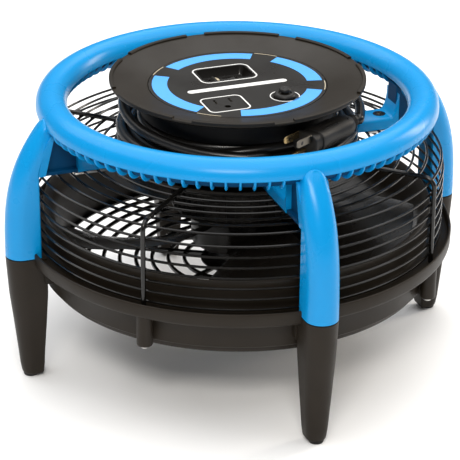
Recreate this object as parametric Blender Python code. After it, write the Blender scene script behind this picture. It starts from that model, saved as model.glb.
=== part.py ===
"""A portable air mover: a handle ring on four legs, a wire guard over a fan that blows down through a
round shroud, and on top a cord reel that carries the switch, the outlet and the breaker.

The origin is on the floor under the middle, +Z is up and the legs stand on the X and Y axes."""

import math

import bmesh
import bpy
from mathutils import Matrix, Vector

# Driving sizes, in metres. The other sizes follow from these.
RING_R = 0.165  # outside radius of the handle ring
RING_Z = 0.222  # height of its centreline
RING_TUBE = 0.0128  # radius of its round section
GUARD_DEPTH = 0.041  # from the ring's centreline down to the top of the guard
DISH_R = 0.105  # outside radius of the reel's top dish
COLLAR_R = 0.080  # radius of the reel's drum under the dish
LEG_WIDTH = 0.027
FOOT_WIDTH = 0.017
CORD_D = 0.0084
FAN_BLADES = 5
FAN_PHASE = 50  # degrees from +X to the first blade's root
RIBS_PER_QUARTER = 20
RIBS_SPREAD = 74  # degrees of the ring that each quarter's ribs fill
GAP = 0.0003  # left between neighbouring pieces

LEGS = {"front": -90, "right": 0, "back": 90, "left": 180}
POSTS = (-135, -45, 45, 135)
SEGMENTS = 40  # round the large turned pieces

# The frame
RING_MID = RING_R - RING_TUBE
SPLIT_Z = RING_Z / 2  # where the blue leg meets the black one
LEG_BULGE = 0.0350  # how far the leg stands outside the ring
LEG_MID = RING_R + LEG_BULGE - LEG_WIDTH / 2  # centre of the leg's round outer side
LEG_INNER = LEG_MID - LEG_WIDTH / 2
FOOT_MID = RING_R + 0.0165
PAD_TOP = 0.0022

# The guard
HOOP_WIRE = 0.0011
POST_WIRE = 0.0020
GUARD_TOP = RING_Z - GUARD_DEPTH
GUARD_R = LEG_INNER - GAP - 2 * HOOP_WIRE
POST_R = GUARD_R + HOOP_WIRE + 0.8 * POST_WIRE
POST_TOP = GUARD_TOP + HOOP_WIRE + 0.8 * POST_WIRE
HOOP_PITCH = 0.0110
SIDE_HOOPS = 7

# The shroud
WALL_R = RING_R
FLANGE_R = RING_R + 0.0150
BOSS_R = FLANGE_R - 0.0078  # where the round bosses stand
FLANGE_TOP = SPLIT_Z + 0.0053
TROUGH_Z = SPLIT_Z - 0.0020
THROAT_R = RING_R - 0.0135
SHROUD_BOTTOM = SPLIT_Z - 0.0377
BOSS_BOTTOM = SPLIT_Z - 0.0330
LEG_STAND_OFF = 0.0035  # from the shroud's wall to the leg's inner side
OUTLET_WIRE = 0.0015
OUTLET_DISC_R = 0.0300
OUTLET_PITCH = 0.0137
OUTLET_SPOKES = 6

# The hub that carries the reel and the motor
ARM_BOTTOM = GUARD_TOP + HOOP_WIRE + GAP
ARM_TOP = ARM_BOTTOM + 0.0096
ARM_SEAT = ARM_BOTTOM + 0.0044
ARM_SCREW_R = RING_MID - RING_TUBE - 0.0112
SCREW_RECESS = 0.0026
HUB_PLATE_TOP = ARM_BOTTOM - GAP
HUB_PLATE_BOTTOM = HUB_PLATE_TOP - 0.0022
MOTOR_R = 0.055
MOTOR_TOP = HUB_PLATE_BOTTOM - GAP
MOTOR_BOTTOM = SPLIT_Z + 0.0200
MOTOR_WALL = 0.0032
SHAFT_R = 0.0057
SHAFT_BOTTOM = SPLIT_Z - 0.0150
BEARING_R = 0.0130
BEARING_HEIGHT = 0.0066

# The fan
FAN_R = THROAT_R - 0.0030
FAN_TOP = MOTOR_BOTTOM - 0.0020
HUB_FAN_R = 0.0380
BLADE_BOTTOM = SPLIT_Z - 0.0190

# The reel
REEL_FLANGE_R = DISH_R - 0.0044
HUB_PLATE_R = REEL_FLANGE_R - 0.0026
REEL_BOTTOM = ARM_SEAT + GAP
COIL_BOTTOM = REEL_BOTTOM + 0.0020
CORE_R = COLLAR_R - 0.0140
COIL_LAYERS = 4
COIL_R = CORE_R + GAP + COIL_LAYERS * CORD_D
COIL_STEP_R = CORE_R + GAP + 2 * CORD_D
COIL_HIGH = COIL_BOTTOM + 3 * CORD_D
COIL_LOW = COIL_BOTTOM + 2 * CORD_D
DISH_SEAT = COIL_HIGH + 0.0172  # the flat underside of the dish
LABEL_R = 0.073
LABEL_SEAT = DISH_SEAT + 0.0020
LABEL_BOTTOM = LABEL_SEAT + GAP
LABEL_TOP = LABEL_BOTTOM + 0.0020
DISH_RIM = LABEL_TOP + 0.0076
DISH_LIPS = 8
DRUM_WALL = 0.0025
DRUM_FLOOR = REEL_BOTTOM + 0.0020
GLAND_AZIMUTH = math.radians(200)
GLAND_R = CORD_D / 1.5
GLAND_Z = COIL_BOTTOM + CORD_D

# What sits in the label
SWITCH_AT = (-0.002, 0.025)
SWITCH_SIZE = (0.046, 0.031)
OUTLET_AT = (-0.0246, -0.0380)
OUTLET_SIZE = (0.0320, 0.0280)
BREAKER_AT = (0.0264, -0.0384)
ROCKER_PIVOT_Z = LABEL_TOP - 0.0110
ROCKER_TILT = math.radians(8)
TRAY_FLOOR = LABEL_TOP - 0.0075
TRAY_WALL = 0.0017
SWITCH_HOLE = (0.0246, 0.0136, 0.0008)
BREAKER_THREAD = 0.0052
BREAKER_BORE = 0.0034
BUTTON_TRAVEL = 0.0020
BLADE_SPACING = 0.0127  # between the two flat blades of a mains plug
GROUND_DROP = 0.0119  # from the blades to the ground pin

# The plug lies along a tangent of the reel
PLUG_AZIMUTH = math.radians(-61)
PLUG_R = COIL_STEP_R + 0.0128
PLUG_Z = COIL_LOW + 0.0136
PLUG_FACE = -0.0310  # along the plug's axis from its middle
PLUG_TAIL = 0.0310


def clear_scene():
    for old in list(bpy.data.objects):
        bpy.data.objects.remove(old)


def material(name, colour, roughness, metallic=0.0):
    made = bpy.data.materials.new(name)
    made.use_nodes = True
    shader = made.node_tree.nodes["Principled BSDF"]
    shader.inputs["Base Color"].default_value = (*colour, 1.0)
    shader.inputs["Roughness"].default_value = roughness
    shader.inputs["Metallic"].default_value = metallic
    return made


def add_object(name, points, faces, surface, turn=0):
    """One closed mesh, its faces turned outwards, turned about Z by so many degrees."""
    mesh = bpy.data.meshes.new(name)
    mesh.from_pydata(points, [], faces)
    shape = bmesh.new()
    shape.from_mesh(mesh)
    bmesh.ops.recalc_face_normals(shape, faces=shape.faces)
    shape.to_mesh(mesh)
    shape.free()
    mesh.materials.append(surface)
    mesh.shade_smooth()
    mesh.set_sharp_from_angle(angle=math.radians(35))
    made = bpy.data.objects.new(name, mesh)
    bpy.context.collection.objects.link(made)
    made.rotation_euler.z = math.radians(turn)
    return made


def as_tool(tool):
    tool.hide_render = True
    tool.display_type = "WIRE"
    return tool


def boolean(target, tool, operation):
    step = target.modifiers.new(tool.name, "BOOLEAN")
    step.operation = operation
    step.solver = "EXACT"
    step.object = as_tool(tool)
    return target


def cut(target, *tools):
    for tool in tools:
        boolean(target, tool, "DIFFERENCE")
    return target


def join(target, *tools):
    for tool in tools:
        boolean(target, tool, "UNION")
    return target


def stitched(loops, closed_path=False):
    """Points and faces of a skin over loops of equal length; open paths are capped at both ends."""
    count = len(loops[0])
    points = [point for loop in loops for point in loop]
    faces = []
    last = len(loops) if closed_path else len(loops) - 1
    for i in range(last):
        here = i * count
        there = ((i + 1) % len(loops)) * count
        for k in range(count):
            following = (k + 1) % count
            faces.append((here + k, here + following, there + following, there + k))
    if not closed_path:
        faces.append(tuple(range(count)))
        faces.append(tuple(range(len(points) - count, len(points))))
    return points, faces


def turned_ring(name, profile, surface, segments=SEGMENTS, at=(0, 0)):
    """A closed (radius, height) profile turned about a vertical axis it doesn't touch."""
    loops = []
    for i in range(segments):
        angle = math.tau * i / segments
        across, along = math.cos(angle), math.sin(angle)
        loops.append([(r * across + at[0], r * along + at[1], z) for r, z in profile])
    return add_object(name, *stitched(loops, closed_path=True), surface)


def turned_solid(name, profile, surface, segments=24, at=(0, 0)):
    """A profile that starts and ends on the axis, turned into a solid."""
    body = profile[1:-1]
    points = [(at[0], at[1], profile[0][1]), (at[0], at[1], profile[-1][1])]
    for r, z in body:
        for i in range(segments):
            angle = math.tau * i / segments
            points.append((r * math.cos(angle) + at[0], r * math.sin(angle) + at[1], z))
    faces = []
    for i in range(segments):
        following = (i + 1) % segments
        faces.append((0, 2 + i, 2 + following))
        top = 2 + (len(body) - 1) * segments
        faces.append((1, top + i, top + following))
        for row in range(len(body) - 1):
            low = 2 + row * segments
            high = low + segments
            faces.append((low + i, low + following, high + following, high + i))
    return add_object(name, points, faces, surface)


def block(name, centre, size, surface=None, turn=0):
    x, y, z = (side / 2 for side in size)
    outline = [(-x, -y), (x, -y), (x, y), (-x, y)]
    loops = [[(centre[0] + u, centre[1] + v, centre[2] + w) for u, v in outline] for w in (-z, z)]
    return add_object(name, *stitched(loops), surface, turn)


def post(name, centre, radius, bottom, top, surface=None, sides=12, turn=0):
    loops = []
    for z in (bottom, top):
        angles = [math.tau * i / sides for i in range(sides)]
        loops.append([(centre[0] + radius * math.cos(a), centre[1] + radius * math.sin(a), z)
                      for a in angles])
    return add_object(name, *stitched(loops), surface, turn)


def rounded_rectangle(size, corner, centre=(0, 0), steps=3):
    points = []
    for quarter, (across, along) in enumerate(((1, 1), (-1, 1), (-1, -1), (1, -1))):
        middle = (across * (size[0] / 2 - corner), along * (size[1] / 2 - corner))
        for i in range(steps):
            angle = math.pi / 2 * (quarter + i / (steps - 1))
            points.append((centre[0] + middle[0] + corner * math.cos(angle),
                           centre[1] + middle[1] + corner * math.sin(angle)))
    return points


def stacked(name, levels, centre, surface, closed_path=False):
    """A skin over rounded rectangles, each level being (width, depth, corner, height)."""
    loops = []
    for width, depth, corner, z in levels:
        outline = rounded_rectangle((width, depth), corner, centre)
        loops.append([(x, y, z) for x, y in outline])
    return add_object(name, *stitched(loops, closed_path), surface)


def upright_plate(name, outline, thickness, surface=None, turn=0, offset=0.0):
    """A (radius, height) outline given thickness across the radial plane it stands in."""
    sides = (offset - thickness / 2, offset + thickness / 2)
    loops = [[(r, y, z) for r, z in outline] for y in sides]
    return add_object(name, *stitched(loops), surface, turn)


def through(points, steps):
    """Points along a smooth curve through the given ones, `steps` to each span."""
    ends = [2 * points[0] - points[1], *points, 2 * points[-1] - points[-2]]
    found = []
    for a, b, c, d in zip(ends, ends[1:], ends[2:], ends[3:]):
        for i in range(steps):
            t = i / steps
            found.append(0.5 * (2 * b + (c - a) * t + (2 * a - 5 * b + 4 * c - d) * t * t
                                + (3 * b - a - 3 * c + d) * t ** 3))
    return [*found, points[-1]]


def handle_ring(surface):
    """Smooth and round above, narrower below, where ribs fill its section out to a circle."""
    upper = [(RING_TUBE * math.cos(a), RING_TUBE * math.sin(a))
             for a in (math.pi * i / 6 for i in range(7))]
    half = 0.70 * RING_TUBE
    depth = 0.84 * RING_TUBE
    lower = [(-half, -0.0008), (-0.75 * half, -depth), (0.75 * half, -depth), (half, -0.0008)]
    profile = [(RING_MID + r, RING_Z + z) for r, z in upper + lower]
    ring = turned_ring("handle_ring", profile, surface)
    return join(ring, handle_ribs())


def handle_ribs():
    reach = 0.97 * RING_TUBE
    outline = [(RING_MID + reach * math.cos(a), RING_Z + reach * math.sin(a))
               for a in (-math.pi * i / 3 for i in range(4))]
    outline += [(RING_MID - 0.6 * reach, RING_Z + 0.002), (RING_MID + 0.6 * reach, RING_Z + 0.002)]
    thickness = 0.0018
    points, faces = [], []
    for leg in LEGS.values():
        for i in range(RIBS_PER_QUARTER):
            spread = RIBS_SPREAD * (i / (RIBS_PER_QUARTER - 1) - 0.5)
            turn = Matrix.Rotation(math.radians(leg + 45 + spread), 3, "Z")
            loops = [[turn @ Vector((r, y, z)) for r, z in outline]
                     for y in (-thickness / 2, thickness / 2)]
            rib_points, rib_faces = stitched(loops)
            faces += [tuple(k + len(points) for k in face) for face in rib_faces]
            points += rib_points
    return add_object("handle_ribs_tool", points, faces, None)


def ring_clearance():
    """The handle ring's full round section, larger by the gap, to cut the legs with."""
    reach = RING_TUBE + GAP
    profile = [(RING_MID + reach * math.cos(a), RING_Z + reach * math.sin(a))
               for a in (math.tau * i / 12 for i in range(12))]
    return turned_ring("ring_clearance_tool", profile, None)


def leg_section(width, inward):
    """Round outside, flat inside: offsets (outwards, sideways) from the middle of the round."""
    half = width / 2
    angles = [math.radians(a) for a in range(-90, 91, 30)]
    rounded = [(half * math.cos(a), half * math.sin(a)) for a in angles]
    return [*rounded, (-inward, half), (-inward, -half)]


def leg_outside(share):
    """Radius of the blue leg's outer side, from the split (0) up to the ring's centreline (1)."""
    return RING_R + LEG_BULGE * (1 - share ** 3) ** 0.77


def upper_leg_body(name, surface, turn):
    """The blue leg rises from the split, bulges outwards and closes in under the ring."""
    rise = RING_Z - SPLIT_Z
    half = LEG_WIDTH / 2
    loops = []
    for share in (0, 0.30, 0.50, 0.64, 0.76, 0.85, 0.91, 0.96, 1.0):
        z = SPLIT_Z + share * rise
        middle = leg_outside(share) - half
        inner = LEG_INNER if z < ARM_BOTTOM + 0.010 else middle - 0.002
        loops.append([(middle + out, side, z) for out, side in leg_section(LEG_WIDTH, middle - inner)])
    return add_object(name, *stitched(loops), surface, turn)


def arm_outline():
    """The arm lies on the guard, drops to a seat for the reel and climbs to the ring."""
    inner = RING_MID - RING_TUBE
    return [(REEL_FLANGE_R - 0.038, ARM_BOTTOM), (LEG_MID - 0.010, ARM_BOTTOM),
            (LEG_MID - 0.009, ARM_BOTTOM + 0.008), (LEG_MID - 0.018, RING_Z - 0.016),
            (RING_MID + 0.006, RING_Z - 0.006), (inner + 0.006, RING_Z - 0.005),
            (inner, RING_Z - 0.010), (inner - 0.0020, RING_Z - 0.018), (inner - 0.0080, ARM_TOP + 0.0035),
            (inner - 0.0160, ARM_TOP), (REEL_FLANGE_R + 0.0046, ARM_TOP),
            (REEL_FLANGE_R + 0.0032, ARM_SEAT), (REEL_FLANGE_R - 0.038, ARM_SEAT)]


def arm_pocket_outline():
    """The hollow on each side of the arm, under the ring."""
    inner = RING_MID - RING_TUBE
    return [(inner + 0.005, ARM_BOTTOM + 0.005), (LEG_INNER - 0.006, ARM_BOTTOM + 0.005),
            (LEG_INNER - 0.010, RING_Z - 0.020), (RING_MID, RING_Z - 0.016),
            (inner + 0.007, RING_Z - 0.017)]


def upper_leg(side, turn, surface, clearance):
    arm_width = 0.89 * LEG_WIDTH
    arm = upright_plate(f"arm_{side}_tool", arm_outline(), arm_width, surface, turn)
    soften = arm.modifiers.new("soften", "BEVEL")
    soften.width = 0.0022
    soften.segments = 1
    soften.limit_method = "ANGLE"
    leg = upper_leg_body(f"upper_leg_{side}", surface, turn)
    join(leg, arm)
    depth = 0.0080
    pockets = []
    for hand, word in ((-1, "near"), (1, "far")):
        middle = hand * (arm_width / 2 + 0.001)
        pockets.append(upright_plate(f"pocket_{side}_{word}_tool", arm_pocket_outline(), 2 * depth,
                                     turn=turn, offset=middle))
    recess = post(f"screw_recess_{side}_tool", (ARM_SCREW_R, 0), 0.0050, ARM_TOP - SCREW_RECESS,
                  ARM_TOP + 0.004, turn=turn)
    return cut(leg, clearance, *pockets, recess)


def arm_screw(side, turn, surface):
    floor = ARM_TOP - SCREW_RECESS + GAP
    place = Matrix.Rotation(math.radians(turn), 3, "Z") @ Vector((ARM_SCREW_R, 0, 0))
    profile = [(0, floor), (0.0042, floor), (0.0042, floor + 0.0012), (0.0030, floor + 0.0022),
               (0.0016, floor + 0.0022), (0.0012, floor + 0.0010), (0, floor + 0.0010)]
    return turned_solid(f"arm_screw_{side}", profile, surface, 12, (place.x, place.y))


def guard_clamp(side, turn, surface):
    """A plate under the guard's hoops, held by the arm's screw."""
    top = GUARD_TOP - HOOP_WIRE - GAP
    size = (0.028, 0.014, 0.002)
    return block(f"guard_clamp_{side}", (ARM_SCREW_R, 0, top - size[2] / 2), size, surface, turn)


def lower_leg(side, turn, surface):
    """The black leg tapers from the split to a blunt foot; its inner side stands off the shroud wall."""
    inner = WALL_R + LEG_STAND_OFF
    levels = [(SPLIT_Z - GAP, inner, LEG_MID + LEG_WIDTH / 2, LEG_WIDTH),
              (0.70 * SPLIT_Z, inner, LEG_MID + 0.0115, LEG_WIDTH - 0.0015),
              (0.48 * SPLIT_Z, inner + 0.0015, LEG_MID + 0.0087, LEG_WIDTH - 0.0040),
              (0.22 * SPLIT_Z, inner + 0.0035, LEG_MID + 0.0057, LEG_WIDTH - 0.0070),
              (0.0060, FOOT_MID - FOOT_WIDTH / 2, FOOT_MID + FOOT_WIDTH / 2, FOOT_WIDTH),
              (PAD_TOP + GAP, FOOT_MID - FOOT_WIDTH / 2 + 0.0035, FOOT_MID + FOOT_WIDTH / 2 - 0.0012,
               FOOT_WIDTH - 0.0024)]
    loops = []
    for z, near, far, width in levels:
        section = leg_section(width, far - near - width / 2)
        middle = far - width / 2
        loops.append([(middle + out, across, z) for out, across in section])
    return add_object(f"lower_leg_{side}", *stitched(loops), surface, turn)


def foot_pad(side, turn, surface):
    centre = Matrix.Rotation(math.radians(turn), 3, "Z") @ Vector((FOOT_MID + 0.001, 0, 0))
    radius = 0.36 * FOOT_WIDTH
    profile = [(0, 0), (radius - 0.0006, 0), (radius, 0.0008), (radius, PAD_TOP), (0, PAD_TOP)]
    return turned_solid(f"foot_pad_{side}", profile, surface, 16, (centre.x, centre.y))


def shroud(surface):
    """Throat, bell mouth and flange in one turned piece, notched where the legs pass."""
    profile = [(THROAT_R + 0.0050, SHROUD_BOTTOM), (WALL_R - 0.0054, SHROUD_BOTTOM),
               (WALL_R - 0.0042, SHROUD_BOTTOM + 0.0060), (WALL_R, SHROUD_BOTTOM + 0.0066),
               (WALL_R + 0.0006, TROUGH_Z - 0.0060), (FLANGE_R - 0.0006, TROUGH_Z - 0.0040),
               (FLANGE_R, FLANGE_TOP - 0.0008), (FLANGE_R - 0.0022, FLANGE_TOP),
               (FLANGE_R - 0.0026, TROUGH_Z + 0.0006), (WALL_R, TROUGH_Z),
               (WALL_R - 0.0055, TROUGH_Z + 0.0010), (WALL_R - 0.0060, FLANGE_TOP + 0.0110),
               (WALL_R - 0.0030, FLANGE_TOP + 0.0180), (WALL_R - 0.0045, FLANGE_TOP + 0.0200),
               (THROAT_R + 0.0035, FLANGE_TOP + 0.0150), (THROAT_R, FLANGE_TOP + 0.0040),
               (THROAT_R, TROUGH_Z - 0.0120)]
    body = turned_ring("shroud", profile, surface)
    for place in POSTS:
        join(body, shroud_boss(place))
    for side, turn in LEGS.items():
        join(body, leg_stop(side, turn))
        cut(body, leg_notch(side, turn))
    return body


def shroud_boss(place):
    return post(f"boss_{place}_tool", (BOSS_R, 0), 0.0065, BOSS_BOTTOM, TROUGH_Z - 0.0020, turn=place)


def leg_stop(side, turn):
    """The pad on the shroud's wall that the leg's inner side bears on."""
    low, high = SHROUD_BOTTOM + 0.0100, TROUGH_Z - 0.0050
    near, far = WALL_R - 0.0020, WALL_R + LEG_STAND_OFF - GAP
    size = (far - near, 0.75 * LEG_WIDTH, high - low)
    return block(f"leg_stop_{side}_tool", ((near + far) / 2, 0, (low + high) / 2), size, turn=turn)


def leg_notch(side, turn):
    near, far = WALL_R + LEG_STAND_OFF - GAP, FLANGE_R + 0.0200
    size = (far - near, LEG_WIDTH + 2 * GAP, 0.0600)
    return block(f"leg_notch_{side}_tool", ((near + far) / 2, 0, SPLIT_Z), size, turn=turn)


def guard_screw(place, surface):
    centre = Matrix.Rotation(math.radians(place), 3, "Z") @ Vector((BOSS_R, 0, 0))
    top = BOSS_BOTTOM - GAP
    profile = [(0, top), (0.0034, top), (0.0034, top - 0.0014), (0.0024, top - 0.0024), (0, top - 0.0024)]
    number = POSTS.index(place) + 1
    return turned_solid(f"guard_screw_{number}", profile, surface, 12, (centre.x, centre.y))


def hoop_points(radius, height, segments):
    """A wire hoop, its section simplified to three sides with a corner outwards."""
    corners = [(HOOP_WIRE * math.cos(a), HOOP_WIRE * math.sin(a)) for a in (0, math.tau / 3, -math.tau / 3)]
    loops = []
    for i in range(segments):
        angle = math.tau * i / segments
        loops.append([((radius + out) * math.cos(angle), (radius + out) * math.sin(angle), height + up)
                      for out, up in corners])
    return stitched(loops, closed_path=True)


def hoop_places():
    """Radius and height of every hoop, from the foot of the guard up and then inwards."""
    foot = FLANGE_TOP - 0.0004
    shoulder = GUARD_TOP - 0.0115
    places = [(GUARD_R, foot + (shoulder - foot) * i / (SIDE_HOOPS - 1)) for i in range(SIDE_HOOPS)]
    places.append((GUARD_R - 0.0015, GUARD_TOP - 0.0015))
    radius = GUARD_R - 0.0025 - HOOP_PITCH
    while radius > REEL_FLANGE_R + 0.0010:
        places.append((radius, GUARD_TOP))
        radius -= HOOP_PITCH
    return places


def guard_post(place, surface):
    """One thick wire: up from the flange, round a bend and in over the hoops."""
    bend = 0.0080
    trough_slope = 0.0006 * (POST_R - WALL_R) / (FLANGE_R - 0.0026 - WALL_R)
    route = [(POST_R, TROUGH_Z + trough_slope + 0.0005), (POST_R, POST_TOP - bend)]
    route += [(POST_R - bend + bend * math.cos(a), POST_TOP - bend + bend * math.sin(a))
              for a in (math.radians(30), math.radians(60), math.radians(90))]
    route.append((REEL_FLANGE_R - 0.0012, POST_TOP))
    loops = []
    for i, (r, z) in enumerate(route):
        before, after = route[max(i - 1, 0)], route[min(i + 1, len(route) - 1)]
        along = Vector((after[0] - before[0], after[1] - before[1])).normalized()
        corners = [math.tau * k / 6 for k in range(6)]
        ring = [(POST_WIRE * math.cos(a), POST_WIRE * math.sin(a)) for a in corners]
        loops.append([(r + out * along[1], side, z - out * along[0]) for out, side in ring])
    return add_object(f"guard_post_{place}_tool", *stitched(loops), surface, place)


def wire_guard(surface):
    points, faces = [], []
    for radius, height in hoop_places():
        segments = 32 if radius > 0.8 * GUARD_R else 24
        hoop, sides = hoop_points(radius, height, segments)
        faces += [tuple(k + len(points) for k in face) for face in sides]
        points += hoop
    guard = add_object("wire_guard", points, faces, surface)
    return join(guard, *(guard_post(place, surface) for place in POSTS))


def outlet_guard(surface):
    """A disc, hoops and spokes across the open bottom of the shroud."""
    height = SHROUD_BOTTOM + 0.0050
    rim = THROAT_R + OUTLET_WIRE
    corners = ((OUTLET_WIRE, 0), (-0.6 * OUTLET_WIRE, OUTLET_WIRE), (-0.6 * OUTLET_WIRE, -OUTLET_WIRE))
    points, faces = [], []
    radius = rim
    while radius > OUTLET_DISC_R + 0.6 * OUTLET_PITCH:
        loops = []
        segments = 28 if radius > 0.6 * rim else 20
        for i in range(segments):
            angle = math.tau * i / segments
            loops.append([((radius + out) * math.cos(angle), (radius + out) * math.sin(angle), height + up)
                          for out, up in corners])
        hoop, sides = stitched(loops, closed_path=True)
        faces += [tuple(k + len(points) for k in face) for face in sides]
        points += hoop
        radius -= OUTLET_PITCH
    guard = add_object("outlet_guard", points, faces, surface)
    low, high = height - 0.0010, height + 0.0010
    join(guard, post("outlet_disc_tool", (0, 0), OUTLET_DISC_R, low, high, surface, 20))
    near, far = 0.8 * OUTLET_DISC_R, rim + 0.0004
    size = (far - near, 0.0026, 0.0026)
    for i in range(OUTLET_SPOKES):
        turn = 360 * (i + 0.5) / OUTLET_SPOKES
        join(guard, block(f"spoke_{i}_tool", ((near + far) / 2, 0, height + 0.0008), size, surface, turn))
    return guard


def hub_plate(surface):
    profile = [(0.010, HUB_PLATE_BOTTOM), (HUB_PLATE_R, HUB_PLATE_BOTTOM), (HUB_PLATE_R, HUB_PLATE_TOP),
               (0.010, HUB_PLATE_TOP)]
    return turned_ring("hub_plate", profile, surface, 32)


def motor(metal, windings, steel):
    """A deep housing closed by an end bell, with the stator in it and the rotor on two bearings."""
    inner = MOTOR_R - MOTOR_WALL
    inside = MOTOR_TOP - 0.0041
    mouth = MOTOR_BOTTOM + 0.0034
    housing = [(0, MOTOR_TOP), (MOTOR_R - 0.004, MOTOR_TOP), (MOTOR_R, MOTOR_TOP - 0.004),
               (MOTOR_R, mouth), (inner, mouth), (inner, inside), (0, inside)]
    turned_solid("motor_housing", housing, metal)
    low, high = mouth + 0.0076, inside - 0.0076
    stator_inner = 0.54 * MOTOR_R
    stator = [(stator_inner, low), (inner - GAP, low), (inner - GAP, high), (stator_inner, high)]
    turned_ring("motor_stator", stator, windings, 24)
    motor_rotor(stator_inner - 0.0008, low + 0.001, high - 0.001, inside - 0.0006, steel)
    end_bell(mouth - GAP, metal)
    bearing("lower", MOTOR_BOTTOM + 0.0022 + GAP, steel)
    bearing("upper", inside - GAP - BEARING_HEIGHT, steel)


def motor_rotor(radius, low, high, top, surface):
    profile = [(0, SHAFT_BOTTOM), (SHAFT_R, SHAFT_BOTTOM), (SHAFT_R, low), (radius, low), (radius, high),
               (SHAFT_R, high), (SHAFT_R, top), (0, top)]
    turned_solid("motor_rotor", profile, surface, 20)


def end_bell(top, surface):
    """The motor's lower cover, with the lower bearing's seat in the middle."""
    bore, seat = SHAFT_R + 0.0007, BEARING_R + GAP
    seat_bottom, seat_top = MOTOR_BOTTOM + 0.0022, top + 0.0063
    profile = [(bore, MOTOR_BOTTOM), (MOTOR_R - 0.002, MOTOR_BOTTOM), (MOTOR_R, MOTOR_BOTTOM + 0.0012),
               (MOTOR_R, top), (seat + 0.0030, top), (seat + 0.0030, seat_top), (seat, seat_top),
               (seat, seat_bottom), (bore, seat_bottom)]
    turned_ring("motor_end_bell", profile, surface, 24)


def bearing(word, start, surface):
    end = start + BEARING_HEIGHT
    profile = [(SHAFT_R + GAP, start), (BEARING_R, start), (BEARING_R, end), (SHAFT_R + GAP, end)]
    turned_ring(f"bearing_{word}", profile, surface, 16)


def blade_loops():
    """Five sections from root to tip, for a fan that turns clockwise: less pitch and more backward
    sweep towards the tip."""
    height = FAN_TOP - 0.0010 - BLADE_BOTTOM
    middle = BLADE_BOTTOM + height / 2
    root = HUB_FAN_R - 0.002
    loops = []
    for i in range(5):
        share = i / 4
        radius = root + (FAN_R - root) * share
        half_angle = math.radians(30 - 6 * share)
        half_height = height * (0.40 + 0.09 * share)
        back = math.radians(22) * share ** 1.5
        thick = 0.0016 - 0.0004 * share
        section = []
        for along, up in ((-1, 0), (-0.35, 1), (0.35, 1), (1, 0), (0.35, -1), (-0.35, -1)):
            angle = back + along * half_angle
            camber = 0.0035 * (1 - along * along)
            z = middle - along * half_height + camber + up * thick
            section.append(Vector((radius * math.cos(angle), radius * math.sin(angle), z)))
        loops.append(section)
    return loops


def fan(surface):
    """A hub cup on the motor's shaft, with blades that sweep back; mirrored, to turn anticlockwise."""
    bore = SHAFT_R + GAP
    bottom = SHAFT_BOTTOM + 0.0080
    skirt = SHAFT_BOTTOM + 0.0020
    sleeve, inner = 0.0160, HUB_FAN_R - 0.0035
    profile = [(bore, bottom), (sleeve, bottom), (sleeve, FAN_TOP - 0.0110), (inner, FAN_TOP - 0.0080),
               (inner, skirt), (HUB_FAN_R, skirt), (HUB_FAN_R, FAN_TOP - 0.0030),
               (HUB_FAN_R - 0.0040, FAN_TOP), (bore, FAN_TOP)]
    hub = turned_ring("fan_rotor", profile, surface, 24)
    for i in range(FAN_BLADES):
        turn = 360 * i / FAN_BLADES
        join(hub, add_object(f"blade_{i}_tool", *stitched(blade_loops()), surface, turn))
    mirrored = Matrix.Rotation(math.radians(FAN_PHASE), 4, "Z") @ Matrix.Scale(-1, 4, Vector((0, 1, 0)))
    hub.data.transform(mirrored)
    hub.data.flip_normals()
    return hub


def fan_nut(surface):
    """Six-sided outside; every other point of its outline is a corner, the rest lie mid-side."""
    top = SHAFT_BOTTOM + 0.0080 - GAP
    bottom = top - 0.0045
    bore, half_width = SHAFT_R + GAP, 0.0095
    corner = half_width / math.cos(math.pi / 6)
    inside = [(bore, bore)] * 6
    outside = [(half_width, corner)] * 6
    loops = []
    for pairs, z in ((inside, bottom), (outside, bottom), (outside, top), (inside, top)):
        radii = [radius for pair in pairs for radius in pair]
        loops.append([(r * math.cos(math.tau * i / 12), r * math.sin(math.tau * i / 12), z)
                      for i, r in enumerate(radii)])
    return add_object("fan_nut", *stitched(loops, closed_path=True), surface)


def reel_drum(surface):
    """A core that holds the wound cord, a wider collar over it and a flange under it."""
    bore = 0.0120
    collar_bottom, collar_top = COIL_HIGH + 0.0006, DISH_SEAT - GAP
    collar_inner, core_inner = COLLAR_R - 0.0030, CORE_R - DRUM_WALL
    flange_top = COIL_BOTTOM - 0.0002
    profile = [(bore, REEL_BOTTOM), (REEL_FLANGE_R, REEL_BOTTOM), (REEL_FLANGE_R, flange_top),
               (CORE_R, flange_top), (CORE_R, collar_bottom), (COLLAR_R, collar_bottom),
               (COLLAR_R, collar_top), (collar_inner, collar_top), (collar_inner, collar_bottom + DRUM_WALL),
               (core_inner, collar_bottom + DRUM_WALL), (core_inner, DRUM_FLOOR), (bore, DRUM_FLOOR)]
    drum = turned_ring("reel_drum", profile, surface, 32)
    hole = gland_loops(((CORE_R - 0.010, GLAND_R + GAP), (CORE_R + 0.002, GLAND_R + GAP)))
    return cut(drum, add_object("gland_hole_tool", *stitched(hole), None))


def gland_loops(steps):
    """Rings round the gland's level axis, each step being (distance from the reel's axis, radius)."""
    turn = Matrix.Rotation(GLAND_AZIMUTH, 3, "Z")
    angles = [math.tau * i / 12 for i in range(12)]
    return [[turn @ Vector((r, radius * math.cos(a), GLAND_Z + radius * math.sin(a))) for a in angles]
            for r, radius in steps]


def cord_gland(surface):
    """The bushing that brings the cord through the core's wall."""
    inner_wall = CORE_R - DRUM_WALL
    flange = 0.95 * CORD_D
    steps = ((inner_wall - 0.0060, GLAND_R + 0.0004), (inner_wall - 0.0045, flange),
             (inner_wall - 0.0010, flange), (inner_wall - 0.0010, GLAND_R), (CORE_R - 0.0004, GLAND_R))
    return add_object("cord_gland", *stitched(gland_loops(steps)), surface)


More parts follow.
